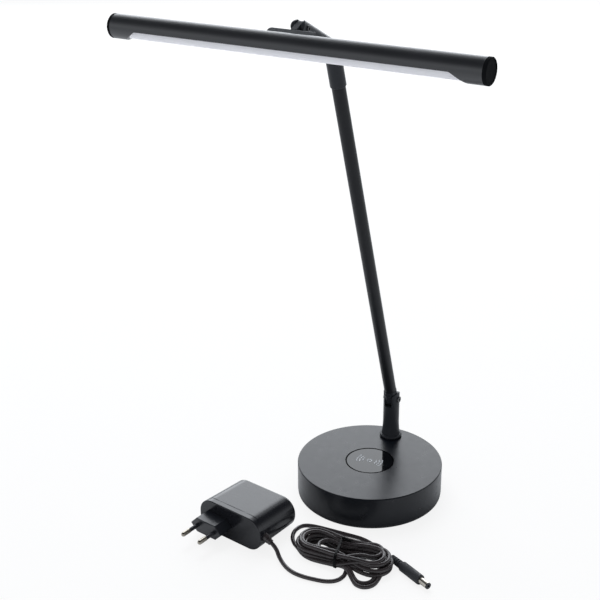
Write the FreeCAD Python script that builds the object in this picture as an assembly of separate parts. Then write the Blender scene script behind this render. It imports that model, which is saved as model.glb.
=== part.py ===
import FreeCAD, Part
import math
import os
from FreeCAD import Vector

# Piano lamp: a round weighted base, a short post that swivels on it, a leaning arm,
# a bent neck and a long slim LED head, with its plug-in adapter and coiled lead.
# Millimetres. +Z is up, +X runs along the head, -Y is the front, and the origin is
# the centre of the base on the floor.

os.makedirs("parts", exist_ok=True)

# ---------------------------------------------------------------- driving sizes

# base housing
BASE_RADIUS = 65.0
BASE_HEIGHT = 30.0
BASE_WALL = 2.6
BASE_TOP = 3.0
BASE_EDGE_ROUND = 0.9
BASE_SEAM_CHAMFER = 0.4
PLATE_THICKNESS = 2.4
PLATE_INSET = 0.3
PAD_PROUD = 0.8
PAD_SEAT_DEPTH = 0.8
PAD_MARGIN = 4.0
BOSS_RADIUS = 4.0
BOSS_INSET = 17.0
BOSS_COUNT = 4
SCREW_RADIUS = 1.5
SCREW_HEAD_RADIUS = 2.9
SCREW_HEAD_THICKNESS = 0.8
SCREW_SEAT_THICKNESS = 0.7
SCREW_LENGTH = 9.0

# cast weight inside the base
WEIGHT_HEADROOM = 2.3
WEIGHT_WALL_GAP = 1.6
WEIGHT_POCKET_MARGIN = 1.2

# touch dimmer: glossy disc, contact pin, board and power socket
TOUCH_RADIUS = 21.6
TOUCH_GAP = 0.4
TOUCH_THICKNESS = 1.6
TOUCH_SUNK = 0.1
CONTACT_RADIUS = 2.0
BOARD_WIDTH = 34.0
BOARD_FRONT = 12.0
BOARD_THICKNESS = 1.6
BOARD_STANDOFF = 1.8
STANDOFF_RADIUS = 2.4
JACK_WIDTH = 9.0
JACK_HEADROOM = 1.35
JACK_LENGTH = 14.0
JACK_NOSE_INSET = 1.2
JACK_BORE_WALL = 1.4
JACK_BORE_DEPTH = 9.5
JACK_PIN_RADIUS = 1.0
JACK_BACKSET = 0.4
JACK_OVERHANG = 1.0
JACK_PIN_BACKSET = 1.0

# post and its swivel
POST_INSET = 14.5
POST_ANGLE = 96.5
POST_RADIUS = 7.4
POST_FLARE_RADIUS = 8.5
POST_FLARE_HEIGHT = 13.0
FLANGE_RADIUS = 10.2
FLANGE_THICKNESS = 2.7
FLANGE_ROUND = 1.1
SPINDLE_RADIUS = 5.0
SWIVEL_BOSS_RADIUS = 11.5
SWIVEL_BOSS_DEPTH = 3.0
BUSH_WALL = 1.6
BUSH_LIP_RADIUS = 8.4
BUSH_LIP_THICKNESS = 0.8
SPRING_WASHER_RADIUS = 8.6
SPRING_WASHER_THICKNESS = 0.8
NUT_FLATS = 15.0
NUT_THICKNESS = 3.8
SPINDLE_TAIL = 0.6

# arm, neck and head, seen from the side: lengths between pivots, leans from the vertical
LOWER_PIVOT_HEIGHT = 69.7
ARM_LENGTH = 360.0
ARM_LEAN = 17.8
NECK_LENGTH = 46.6
NECK_LEAN = 63.2
HEAD_REACH = 22.8
HEAD_LEAN = 114.4

ARM_RADIUS = 5.5
ARM_WALL = 1.0
ARM_COLLAR_RADIUS = 5.75
ARM_COLLAR_LENGTH = 2.6
SLEEVE_RADIUS = 6.4
SLEEVE_LENGTH = 32.0
SLEEVE_SOLID = 14.0
SPIGOT_LENGTH = 14.0
NECK_RADIUS = 5.8
WIRE_RADIUS = 1.1

# hinges
LOWER_SLOT = 7.0
UPPER_SLOT = 6.0
FRONT_SLOT = 5.8
LOWER_CROWN = 7.2
UPPER_CROWN = 6.6
FRONT_CROWN = 5.8
LOWER_PIN_RADIUS = 2.0
SMALL_PIN_RADIUS = 1.5
SCREW_HEAD_RISE = 0.9
HINGE_WASHER = 0.5

# lamp head
HEAD_RADIUS = 9.3
HEAD_LENGTH = 310.0
HEAD_WALL = 1.2
CAP_RIM = 2.7
CAP_PLUG = 7.0
CAP_EDGE = 0.5
CAP_DISH = 0.4
WINDOW_MARGIN = 25.5
WINDOW_SLANT = 11.5
WINDOW_DROP = 1.3
WINDOW_ROUND = 4.0
DIFFUSER_WALL = 1.3
INSERT_FIT = 0.08
CARRIER_LEVEL = 1.6
CARRIER_FLOOR = 2.5
CARRIER_SLOT = 5.0
LED_BOARD_WIDTH = 11.0
LED_BOARD_THICKNESS = 1.0
LED_COUNT = 30
LED_LENGTH = 3.5
LED_WIDTH = 2.8
LED_THICKNESS = 0.7
SADDLE_LENGTH = 39.4
SADDLE_HALF_HEIGHT = 5.0
SADDLE_DEPTH = 4.5
SADDLE_BEVEL = 2.2
SADDLE_EYE_RADIUS = 1.3
SADDLE_EYE_DEPTH = 2.5
SADDLE_SCREW_SPACING = 26.0
SADDLE_SCREW_RADIUS = 1.25
SADDLE_SCREW_HEAD_RADIUS = 2.3
SADDLE_SCREW_HEAD_THICKNESS = 1.3
SADDLE_SCREW_DEPTH = 3.6

# plug-in adapter, lying on its broad side
ADAPTER_FRONT_X = -61.2
ADAPTER_FRONT_Y = -132.6
ADAPTER_TURN = -6.1
ADAPTER_WIDTH = 68.0
ADAPTER_HEIGHT = 30.3
ADAPTER_LENGTH = 49.0
ADAPTER_ROUND = 13.5
ADAPTER_TAPER_WIDTH = 1.0
ADAPTER_TAPER_HEIGHT = 2.3
ADAPTER_COVER = 5.7
ADAPTER_SEAM = 0.35
ADAPTER_REAR_ROUND = 3.0
PLUG_OFFSET = -14.4
PLUG_AXIS_HEIGHT = 13.0
PLUG_HALF_WIDTH = 17.0
PLUG_HALF_FLAT = 10.4
PLUG_THICKNESS = 13.7
PLUG_LENGTH = 14.8
PLUG_EDGE_ROUND = 0.8
PIN_SPACING = 18.6
PIN_RADIUS = 2.0
PIN_LENGTH = 19.0
PIN_ROOT = 4.0
PIN_CORE_RADIUS = 1.3
PIN_SLEEVE_LENGTH = 10.0
PIN_SLEEVE_WALL = 0.45
RELIEF_ALONG = 7.0
RELIEF_HEIGHT = 13.3
RELIEF_DROOP = 26.0
RELIEF_ROOT_RADIUS = 3.6
RELIEF_TIP_RADIUS = 2.5
RELIEF_LENGTH = 6.6
RELIEF_ROOT_DEPTH = 4.0

# lead and its hank
CORD_RADIUS = 1.75
HANK_X = 34.0
HANK_Y = -107.5
HANK_TURN = 4.0
HANK_LENGTH = 86.0
HANK_WIDTH = 33.0
HANK_HEIGHT = 13.0
HANK_CORNER = 14.0
HANK_EDGE = 4.5
TIE_OFFSET = -2.0
TIE_WIDTH = 3.0
TIE_THICKNESS = 1.0

# small power plug on the end of the lead
POWER_PLUG_X = 71.0
POWER_PLUG_Y = -87.9
POWER_PLUG_TURN = -22.7
GRIP_RADIUS = 4.3
GRIP_LENGTH = 23.0
BOOT_TIP_RADIUS = 3.0
BOOT_ROOT_RADIUS = 3.4
BOOT_LENGTH = 13.5
BOOT_GROOVE_RADIUS = 2.7
BOOT_GROOVES = 4
BARREL_RADIUS = 2.75
BARREL_LENGTH = 9.5
BARREL_WALL = 0.4
BARREL_BORE_RADIUS = 1.1
INSULATOR_PROUD = 0.8

# fits
RUN_FIT = 0.05
LOOSE_FIT = 0.3
EDGE_SEARCH = 0.01
BODY_GAP = 0.3

# Route of the lead where it is not coiled: chosen points, in order, on the line of the cord.
LEAD_ROUTE = [
    (-15.4, -130.6, 7.8),
    (-8.6, -136.2, 3.8),
    (0.5, -141.6, 1.95),
    (9.8, -145.0, 1.9),
    (19.5, -145.4, 1.9),
    (30.0, -143.6, 1.9),
    (39.8, -141.0, 1.9),
    (46.6, -135.4, 1.9),
    (48.2, -127.0, 1.9),
    (45.0, -118.5, 2.4),
]
TAIL_ROUTE = [
    (-4.1, -114.2, 2.0),
    (-11.4, -109.9, 1.9),
    (-17.4, -103.1, 1.9),
    (-20.9, -93.3, 1.9),
    (-18.8, -83.5, 1.9),
    (-9.5, -79.6, 1.9),
    (5.8, -77.6, 1.9),
    (21.5, -75.6, 1.9),
    (35.5, -73.9, 1.9),
    (48.2, -77.0, 1.9),
    (59.5, -82.6, 3.0),
]

# Plan of the loose bight that droops out of the front of the hank, counterclockwise.
BIGHT_PLAN = [
    (55.0, -117.0),
    (54.0, -128.0),
    (60.0, -134.5),
    (70.0, -137.5),
    (78.0, -132.0),
    (79.0, -122.0),
    (72.0, -112.0),
]

# ---------------------------------------------------------------- sizes that follow

X_AXIS = Vector(1, 0, 0)
Y_AXIS = Vector(0, 1, 0)
Z_AXIS = Vector(0, 0, 1)

plate_bottom = PAD_PROUD
plate_top = plate_bottom + PLATE_THICKNESS
base_inner_radius = BASE_RADIUS - BASE_WALL
pad_radius = BASE_RADIUS - PAD_MARGIN
boss_circle = BASE_RADIUS - BOSS_INSET
post_circle = BASE_RADIUS - POST_INSET
top_underside = BASE_HEIGHT - BASE_TOP
screw_head_top = plate_top - SCREW_SEAT_THICKNESS
screw_head_bottom = screw_head_top - SCREW_HEAD_THICKNESS
board_bottom = plate_top + BOARD_STANDOFF
board_top = board_bottom + BOARD_THICKNESS
touch_floor = BASE_HEIGHT - TOUCH_SUNK - TOUCH_THICKNESS

post_x = post_circle * math.cos(math.radians(POST_ANGLE))
post_y = post_circle * math.sin(math.radians(POST_ANGLE))
flange_bottom = BASE_HEIGHT + BODY_GAP
flange_top = flange_bottom + FLANGE_THICKNESS
swivel_boss_bottom = top_underside - SWIVEL_BOSS_DEPTH
bush_radius = SPINDLE_RADIUS + RUN_FIT + BUSH_WALL
bush_lip_top = flange_bottom - RUN_FIT
spring_washer_top = swivel_boss_bottom - RUN_FIT
spring_washer_bottom = spring_washer_top - SPRING_WASHER_THICKNESS
nut_bottom = spring_washer_bottom - NUT_THICKNESS
spindle_end = nut_bottom - SPINDLE_TAIL
weight_thickness = top_underside - WEIGHT_HEADROOM - plate_top
jack_height = spindle_end - JACK_HEADROOM - board_top
jack_nose_radius = jack_height / 2 - JACK_NOSE_INSET
jack_bore_radius = jack_nose_radius - JACK_BORE_WALL

head_inner_radius = HEAD_RADIUS - HEAD_WALL
window_length = HEAD_LENGTH - 2 * WINDOW_MARGIN
insert_radius = head_inner_radius - INSERT_FIT
insert_half = HEAD_LENGTH / 2 - CAP_RIM - CAP_PLUG - LOOSE_FIT
led_board_face = CARRIER_LEVEL - LED_BOARD_THICKNESS
diffuser_top = led_board_face - LED_THICKNESS - LOOSE_FIT
cord_diameter = 2 * CORD_RADIUS


def along(start, lean, distance):
    """Point at a distance from start, leaning forward from the vertical."""
    a = math.radians(lean)
    return start + Vector(0, -math.sin(a), math.cos(a)) * distance


lower_pivot = Vector(post_x, post_y, LOWER_PIVOT_HEIGHT)
upper_pivot = along(lower_pivot, ARM_LEAN, ARM_LENGTH)
front_pivot = along(upper_pivot, NECK_LEAN, NECK_LENGTH)
head_centre = along(front_pivot, HEAD_LEAN, HEAD_REACH)

# ---------------------------------------------------------------- helpers

count = 0


def save(name, shape):
    """Write one sub-part; its solids must be sound."""
    global count
    shape = shape.removeSplitter()
    if not shape.isValid() or not shape.Solids:
        raise ValueError(name + " is not a sound solid")
    shape.exportStep("parts/" + name + ".step")
    count += 1
    print("%-22s %d solid(s) %10.1f mm3" % (name, len(shape.Solids), shape.Volume))


def rod(start, axis, radius, length):
    return Part.makeCylinder(radius, length, start, axis)


def ring(start, axis, outer, inner, length):
    return rod(start, axis, outer, length).cut(rod(start, axis, inner, length))


def block(low, high):
    size = high - low
    return Part.makeBox(size.x, size.y, size.z, low)


def joined(shapes):
    return shapes[0].multiFuse(shapes[1:]) if len(shapes) > 1 else shapes[0]


def turned(outline, centre=Vector(0, 0, 0)):
    """Full turn about the vertical line through centre of an outline of (radius, height)
    points; an entry of two points is an arc through the first to the second."""
    edges = []
    last = Vector(outline[0][0], 0, outline[0][1])
    first = last
    for entry in outline[1:]:
        if isinstance(entry[0], tuple):
            mid = Vector(entry[0][0], 0, entry[0][1])
            end = Vector(entry[1][0], 0, entry[1][1])
            edges.append(Part.Arc(last, mid, end).toShape())
        else:
            end = Vector(entry[0], 0, entry[1])
            edges.append(Part.makeLine(last, end))
        last = end
    edges.append(Part.makeLine(last, first))
    solid = Part.Face(Part.Wire(edges)).revolve(Vector(0, 0, 0), Z_AXIS, 360)
    solid.translate(centre)
    return solid


def placed(shape, origin, lean):
    """Stand a shape, made about a pivot with its length along +Z, at a pivot and a lean."""
    shape = shape.copy()
    shape.Placement = FreeCAD.Placement(origin, FreeCAD.Rotation(X_AXIS, lean)) * shape.Placement
    return shape


def around(count_of, radius, start_angle=0.0):
    """Centres spaced evenly on a circle about the origin."""
    points = []
    for i in range(count_of):
        a = math.radians(start_angle + 360.0 * i / count_of)
        points.append(Vector(radius * math.cos(a), radius * math.sin(a), 0))
    return points


def turned_about_z(shape, angle):
    shape = shape.copy()
    shape.rotate(Vector(0, 0, 0), Z_AXIS, angle)
    return shape


def hexagon(centre, flats, thickness):
    """Hexagonal prism, standing up from centre."""
    corner = flats / math.sqrt(3)
    points = [centre + p for p in around(6, corner)]
    wire = Part.makePolygon(points + points[:1])
    return Part.Face(wire).extrude(Z_AXIS * thickness)


# ---------------------------------------------------------------- hinge pieces
# Every hinge is made about its pivot at the origin with the pin along X. The fork's rod
# comes up from below; the tongue goes up and away.


def fork_top(rod_radius, crown, slot, pin_radius, below):
    """Upper end of a round rod: rounded ears with a milled slot and a cross hole."""
    ears = rod(Vector(0, 0, -below), Z_AXIS, rod_radius, below + crown)
    reach = 2 * rod_radius
    keep_below = block(Vector(-reach, -reach, -below), Vector(reach, reach, 0))
    keep_crown = rod(Vector(-reach, 0, 0), X_AXIS, crown, 2 * reach)
    ears = ears.common(keep_below.fuse(keep_crown))
    floor = fork_floor(rod_radius)
    ears = ears.cut(block(Vector(-slot / 2, -reach, -floor), Vector(slot / 2, reach, reach)))
    ears = ears.cut(rod(Vector(-reach, 0, 0), X_AXIS, pin_radius, 2 * reach))
    head = head_radius(pin_radius) + RUN_FIT
    ears = ears.cut(rod(Vector(head_seat(rod_radius, slot), 0, 0), X_AXIS, head, reach))
    return ears.cut(rod(Vector(-head_seat(rod_radius, slot), 0, 0), -X_AXIS, head, reach))


def fork_floor(rod_radius):
    """Depth of the slot below the pin."""
    return tongue_radius(rod_radius) + LOOSE_FIT + BODY_GAP


def tongue_radius(rod_radius):
    return rod_radius - 3 * BODY_GAP


def head_radius(pin_radius):
    return 1.5 * pin_radius


def head_seat(rod_radius, slot):
    """Where the screw head and the nut bear, out from the middle of the hinge."""
    ear = rod_radius - slot / 2
    return slot / 2 + 0.62 * ear


def shoulder_height(crown):
    return crown + BODY_GAP + RUN_FIT


def tongue_width(slot):
    return slot - 2 * (HINGE_WASHER + RUN_FIT)


def tongue(rod_radius, crown, slot, pin_radius):
    """Flat tongue with a round end, up to the shoulder."""
    width = tongue_width(slot)
    radius = tongue_radius(rod_radius)
    flat = block(Vector(-width / 2, -radius, 0), Vector(width / 2, radius, shoulder_height(crown)))
    end = rod(Vector(-width / 2, 0, 0), X_AXIS, radius, width)
    return flat.fuse(end).cut(rod(Vector(-width, 0, 0), X_AXIS, pin_radius + RUN_FIT, 2 * width))


def hinge_screw(rod_radius, slot, pin_radius):
    """Shoulder screw with a low socket head, head towards +X."""
    seat = head_seat(rod_radius, slot)
    face = rod_radius + SCREW_HEAD_RISE
    shank = rod(Vector(-seat, 0, 0), X_AXIS, pin_radius, 2 * seat)
    head = rod(Vector(seat, 0, 0), X_AXIS, head_radius(pin_radius), face - seat)
    rim = head.Edges
    flat = [e for e in rim if e.BoundBox.XLength < EDGE_SEARCH]
    outer = [e for e in flat if abs(e.BoundBox.XMin - face) < EDGE_SEARCH]
    head = head.makeFillet(SCREW_HEAD_RISE / 3, outer)
    socket = hexagon(Vector(0, 0, 0), 1.2 * pin_radius, SCREW_HEAD_RISE)
    socket.rotate(Vector(0, 0, 0), Y_AXIS, 90)
    socket.translate(Vector(face - SCREW_HEAD_RISE, 0, 0))
    return shank.fuse(head).cut(socket)


def hinge_nut(rod_radius, slot, pin_radius):
    """Round nut that fills the seat on the other ear."""
    seat = head_seat(rod_radius, slot)
    nut = rod(Vector(-seat, 0, 0), -X_AXIS, head_radius(pin_radius), rod_radius - BODY_GAP - seat)
    face = -(rod_radius - BODY_GAP)
    slot_cut = block(
        Vector(-2 * rod_radius, -SCREW_HEAD_RISE / 2, -2 * rod_radius),
        Vector(face + SCREW_HEAD_RISE / 2, SCREW_HEAD_RISE / 2, 2 * rod_radius),
    )
    return nut.cut(slot_cut)


def hinge_washers(rod_radius, slot, pin_radius):
    """Two friction washers, one each side of the tongue."""
    inner = pin_radius + RUN_FIT
    outer = tongue_radius(rod_radius) - BODY_GAP
    edge = tongue_width(slot) / 2
    right = ring(Vector(edge, 0, 0), X_AXIS, outer, inner, HINGE_WASHER)
    left = ring(Vector(-edge, 0, 0), -X_AXIS, outer, inner, HINGE_WASHER)
    return Part.makeCompound([left, right])


def save_hinge(name, pivot, fork_lean, tongue_lean, rod_radius, slot, pin_radius):
    save(name + "_screw", placed(hinge_screw(rod_radius, slot, pin_radius), pivot, fork_lean))
    save(name + "_nut", placed(hinge_nut(rod_radius, slot, pin_radius), pivot, fork_lean))
    save(name + "_washers", placed(hinge_washers(rod_radius, slot, pin_radius), pivot, tongue_lean))


# ---------------------------------------------------------------- base
# Made with the post on +Y and then turned to where the post stands.

base_turn = POST_ANGLE - 90


def screw_places():
    return around(BOSS_COUNT, boss_circle, 45.0)


def base_shell():
    """Turned cover with a round top edge, open below, with bosses inside."""
    shell = rod(Vector(0, 0, plate_top), Z_AXIS, BASE_RADIUS, BASE_HEIGHT - plate_top)
    circles = [e for e in shell.Edges if e.BoundBox.ZLength < EDGE_SEARCH]
    top = [e for e in circles if e.BoundBox.ZMin > BASE_HEIGHT - EDGE_SEARCH]
    bottom = [e for e in circles if e.BoundBox.ZMax < plate_top + EDGE_SEARCH]
    shell = shell.makeFillet(BASE_EDGE_ROUND, top)
    bottom = [e for e in shell.Edges if e.BoundBox.ZMax < plate_top + EDGE_SEARCH]
    shell = shell.makeChamfer(BASE_SEAM_CHAMFER, bottom)
    cavity = rod(Vector(0, 0, plate_top), Z_AXIS, base_inner_radius, top_underside - plate_top)
    shell = shell.cut(cavity)
    post = Vector(0, post_circle, 0)
    bosses = []
    for place in screw_places():
        bosses.append(rod(place + Z_AXIS * plate_top, Z_AXIS, BOSS_RADIUS, top_underside - plate_top))
    swivel_boss = rod(post + Z_AXIS * swivel_boss_bottom, Z_AXIS, SWIVEL_BOSS_RADIUS, SWIVEL_BOSS_DEPTH)
    bosses.append(swivel_boss.common(rod(Vector(0, 0, 0), Z_AXIS, base_inner_radius, BASE_HEIGHT)))
    shell = joined([shell] + bosses)
    touch_seat = rod(Vector(0, 0, touch_floor), Z_AXIS, TOUCH_RADIUS + TOUCH_GAP, BASE_TOP)
    shell = shell.cut(touch_seat)
    shell = shell.cut(rod(Vector(0, 0, 0), Z_AXIS, CONTACT_RADIUS + LOOSE_FIT, BASE_HEIGHT))
    shell = shell.cut(rod(post, Z_AXIS, bush_radius, 2 * BASE_HEIGHT))
    lip_floor = bush_lip_top - BUSH_LIP_THICKNESS
    shell = shell.cut(rod(post + Z_AXIS * lip_floor, Z_AXIS, BUSH_LIP_RADIUS, BASE_TOP))
    shell = shell.cut(rod(Vector(0, 0, jack_axis()), Y_AXIS, jack_nose_radius, 2 * BASE_RADIUS))
    for place in screw_places():
        shell = shell.cut(rod(place, Z_AXIS, SCREW_RADIUS, screw_head_bottom + SCREW_LENGTH))
    return shell


def jack_axis():
    return board_top + jack_height / 2


def jack_face():
    """Flat front of the socket's body, just inside the round wall."""
    half = JACK_WIDTH / 2
    return math.sqrt(base_inner_radius**2 - half**2) - RUN_FIT


def board_back():
    return jack_face() - JACK_OVERHANG


def base_plate():
    """Bottom cover with a seat for the foot pad, standoffs and sunk screw holes."""
    radius = BASE_RADIUS - PLATE_INSET
    plate = rod(Vector(0, 0, plate_bottom), Z_AXIS, radius, PLATE_THICKNESS)
    rims = [e for e in plate.Edges if e.BoundBox.ZLength < EDGE_SEARCH]
    plate = plate.makeChamfer(BASE_SEAM_CHAMFER, rims)
    plate = plate.cut(foot_pad())
    for place in standoff_places():
        plate = plate.fuse(rod(place + Z_AXIS * plate_top, Z_AXIS, STANDOFF_RADIUS, BOARD_STANDOFF))
    for place in screw_places():
        plate = plate.cut(rod(place, Z_AXIS, SCREW_RADIUS + LOOSE_FIT, BASE_HEIGHT))
        plate = plate.cut(rod(place, Z_AXIS, SCREW_HEAD_RADIUS + LOOSE_FIT, screw_head_top))
    return plate


def foot_pad():
    """Foam rubber disc that covers the screws and carries the lamp."""
    return rod(Vector(0, 0, 0), Z_AXIS, pad_radius, PAD_PROUD + PAD_SEAT_DEPTH)


def standoff_places():
    inset = 1.5 * STANDOFF_RADIUS
    places = []
    for x in (inset - BOARD_WIDTH / 2, BOARD_WIDTH / 2 - inset):
        for y in (-BOARD_FRONT + inset, board_back() - JACK_LENGTH):
            places.append(Vector(x, y, 0))
    return places


def base_weight():
    """Cast disc that stands on the plate, cleared for the board, bosses and swivel."""
    radius = base_inner_radius - WEIGHT_WALL_GAP
    weight = rod(Vector(0, 0, plate_top), Z_AXIS, radius, weight_thickness)
    m = WEIGHT_POCKET_MARGIN
    low = Vector(-BOARD_WIDTH / 2 - m, -BOARD_FRONT - m, 0)
    high = Vector(BOARD_WIDTH / 2 + m, BASE_RADIUS, BASE_HEIGHT)
    pocket = block(low, high)
    upright = [e for e in pocket.Edges if e.BoundBox.ZLength > BASE_TOP]
    pocket = pocket.makeFillet(STANDOFF_RADIUS, upright)
    weight = weight.cut(pocket)
    for place in screw_places():
        weight = weight.cut(rod(place, Z_AXIS, BOSS_RADIUS + LOOSE_FIT, BASE_HEIGHT))
    return weight


def base_screws():
    screws = []
    for place in screw_places():
        foot = place + Z_AXIS * screw_head_bottom
        head = rod(foot, Z_AXIS, SCREW_HEAD_RADIUS, SCREW_HEAD_THICKNESS)
        shank = rod(foot, Z_AXIS, SCREW_RADIUS, SCREW_LENGTH)
        screws.append(head.fuse(shank))
    return Part.makeCompound(screws)


def touch_contact():
    """Spring pin from the board up to the underside of the touch disc."""
    height = touch_floor - board_top
    foot = rod(Vector(0, 0, board_top), Z_AXIS, 1.6 * CONTACT_RADIUS, BOARD_THICKNESS)
    return foot.fuse(rod(Vector(0, 0, board_top), Z_AXIS, CONTACT_RADIUS, height))


def power_socket():
    face = jack_face()
    half = JACK_WIDTH / 2
    body = block(Vector(-half, face - JACK_LENGTH, board_top), Vector(half, face, board_top + jack_height))
    nose_end = BASE_RADIUS - JACK_BACKSET
    start = Vector(0, face - JACK_BORE_DEPTH, jack_axis())
    nose = rod(start, Y_AXIS, jack_nose_radius - RUN_FIT, nose_end - face + JACK_BORE_DEPTH)
    bore = rod(Vector(0, nose_end - JACK_BORE_DEPTH, jack_axis()), Y_AXIS, jack_bore_radius, BASE_RADIUS)
    return body.fuse(nose).cut(bore)


def power_socket_pin():
    nose_end = BASE_RADIUS - JACK_BACKSET
    start = Vector(0, nose_end - JACK_BORE_DEPTH, jack_axis())
    return rod(start, Y_AXIS, JACK_PIN_RADIUS, JACK_BORE_DEPTH - JACK_PIN_BACKSET)


def control_board():
    """Board with its back edge rounded to the wall."""
    low = Vector(-BOARD_WIDTH / 2, -BOARD_FRONT, board_bottom)
    board = block(low, Vector(BOARD_WIDTH / 2, board_back(), board_top))
    return board.common(rod(Vector(0, 0, 0), Z_AXIS, base_inner_radius - LOOSE_FIT, BASE_HEIGHT))


def swivel_bush():
    """Plastic bush with a lip that the post's flange turns on."""
    inner = SPINDLE_RADIUS + RUN_FIT
    lip_floor = bush_lip_top - BUSH_LIP_THICKNESS
    outline = [
        (inner, swivel_boss_bottom), (bush_radius, swivel_boss_bottom), (bush_radius, lip_floor),
        (BUSH_LIP_RADIUS, lip_floor), (BUSH_LIP_RADIUS, bush_lip_top), (inner, bush_lip_top),
    ]
    return turned(outline, Vector(0, post_circle, 0))


def make_base():
    pieces = {
        "base_shell": base_shell(),
        "base_plate": base_plate(),
        "base_weight": base_weight(),
        "base_screws": base_screws(),
        "foot_pad": foot_pad(),
        "touch_disc": rod(Vector(0, 0, touch_floor), Z_AXIS, TOUCH_RADIUS, TOUCH_THICKNESS),
        "touch_contact": touch_contact(),
        "control_board": control_board(),
        "power_socket": power_socket(),
        "power_socket_pin": power_socket_pin(),
        "swivel_bush": swivel_bush(),
    }
    for name, shape in pieces.items():
        save(name, turned_about_z(shape, base_turn))


# ---------------------------------------------------------------- post


def post():
    """Turned post: threaded spindle, rounded flange, flared foot and forked top."""
    rise = LOWER_PIVOT_HEIGHT
    foot = flange_top + POST_FLARE_HEIGHT
    r = FLANGE_ROUND
    corner = r * (1 - math.sqrt(0.5))
    waist_z = (flange_top + foot) / 2
    waist_r = POST_RADIUS + 0.33 * (POST_FLARE_RADIUS - POST_RADIUS)
    outline = [
        (0, spindle_end), (SPINDLE_RADIUS, spindle_end), (SPINDLE_RADIUS, flange_bottom),
        (FLANGE_RADIUS - r, flange_bottom),
        ((FLANGE_RADIUS - corner, flange_bottom + corner), (FLANGE_RADIUS, flange_bottom + r)),
        (FLANGE_RADIUS, flange_top - r),
        ((FLANGE_RADIUS - corner, flange_top - corner), (FLANGE_RADIUS - r, flange_top)),
        (POST_FLARE_RADIUS, flange_top),
        ((waist_r, waist_z), (POST_RADIUS, foot)),
        (POST_RADIUS, rise - POST_FLARE_HEIGHT), (0, rise - POST_FLARE_HEIGHT),
    ]
    lower = turned(outline, Vector(post_x, post_y, 0))
    top = fork_top(POST_RADIUS, LOWER_CROWN, LOWER_SLOT, LOWER_PIN_RADIUS, POST_FLARE_HEIGHT)
    return lower.fuse(placed(top, lower_pivot, 0))


def make_post():
    centre = Vector(post_x, post_y, 0)
    save("post", post())
    save("swivel_spring", ring(centre + Z_AXIS * spring_washer_bottom, Z_AXIS, SPRING_WASHER_RADIUS,
                               SPINDLE_RADIUS, SPRING_WASHER_THICKNESS))
    nut = hexagon(centre + Z_AXIS * nut_bottom, NUT_FLATS, NUT_THICKNESS)
    save("swivel_nut", nut.cut(rod(centre, Z_AXIS, SPINDLE_RADIUS, BASE_HEIGHT)))


# ---------------------------------------------------------------- arm and neck


def arm_foot():
    """Tongue, collar and the spigot that goes up inside the tube."""
    shoulder = shoulder_height(LOWER_CROWN)
    collar = rod(Vector(0, 0, shoulder), Z_AXIS, ARM_COLLAR_RADIUS, ARM_COLLAR_LENGTH)
    spigot_radius = ARM_RADIUS - ARM_WALL
    spigot = rod(Vector(0, 0, shoulder), Z_AXIS, spigot_radius, ARM_COLLAR_LENGTH + SPIGOT_LENGTH)
    blade = tongue(POST_RADIUS, LOWER_CROWN, LOWER_SLOT, LOWER_PIN_RADIUS)
    radius = tongue_radius(POST_RADIUS)
    blade = blade.common(rod(Vector(0, 0, -POST_RADIUS), Z_AXIS, radius, 4 * POST_RADIUS))
    return joined([collar, spigot, blade])


def tube_start():
    return shoulder_height(LOWER_CROWN) + ARM_COLLAR_LENGTH


def tube_end():
    return ARM_LENGTH - SLEEVE_SOLID


def arm_tube():
    inner = ARM_RADIUS - ARM_WALL
    return ring(Vector(0, 0, tube_start()), Z_AXIS, ARM_RADIUS, inner, tube_end() - tube_start())


def arm_wire():
    """Two-core lead to the head, lying along the wall inside the tube."""
    start = tube_start() + SPIGOT_LENGTH
    offset = ARM_RADIUS - ARM_WALL - WIRE_RADIUS
    return rod(Vector(0, offset, start), Z_AXIS, WIRE_RADIUS, tube_end() - start)


def arm_sleeve():
    """Thicker sleeve over the top of the tube that ends in the upper fork."""
    ears = fork_top(SLEEVE_RADIUS, UPPER_CROWN, UPPER_SLOT, SMALL_PIN_RADIUS, SLEEVE_LENGTH)
    bottom = [e for e in ears.Edges if e.BoundBox.ZMax < EDGE_SEARCH - SLEEVE_LENGTH]
    ears = ears.makeChamfer(BODY_GAP, bottom)
    bore = rod(Vector(0, 0, -2 * SLEEVE_LENGTH), Z_AXIS, ARM_RADIUS, 2 * SLEEVE_LENGTH - SLEEVE_SOLID)
    return ears.cut(bore)


def neck():
    """Short round neck: a tongue at the back, a fork at the front."""
    start = shoulder_height(UPPER_CROWN)
    front = fork_top(NECK_RADIUS, FRONT_CROWN, FRONT_SLOT, SMALL_PIN_RADIUS, NECK_LENGTH - start)
    front.translate(Z_AXIS * NECK_LENGTH)
    blade = tongue(SLEEVE_RADIUS, UPPER_CROWN, UPPER_SLOT, SMALL_PIN_RADIUS)
    blade = blade.common(rod(Vector(0, 0, -SLEEVE_RADIUS), Z_AXIS, NECK_RADIUS, 4 * SLEEVE_RADIUS))
    return front.fuse(blade)


def make_arm():
    save("arm_foot", placed(arm_foot(), lower_pivot, ARM_LEAN))
    save("arm_tube", placed(arm_tube(), lower_pivot, ARM_LEAN))
    save("arm_wire", placed(arm_wire(), lower_pivot, ARM_LEAN))
    save("arm_sleeve", placed(arm_sleeve(), upper_pivot, ARM_LEAN))
    save_hinge("lower_hinge", lower_pivot, 0, ARM_LEAN, POST_RADIUS, LOWER_SLOT, LOWER_PIN_RADIUS)


def make_neck():
    save("neck", placed(neck(), upper_pivot, NECK_LEAN))
    save_hinge("upper_hinge", upper_pivot, ARM_LEAN, NECK_LEAN, SLEEVE_RADIUS, UPPER_SLOT, SMALL_PIN_RADIUS)


# ---------------------------------------------------------------- lamp head
# The tube and what is inside it are made about the head's own axis, which runs along X.


def head_rod(radius, start, length):
    return rod(Vector(start, 0, 0), X_AXIS, radius, length)


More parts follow.
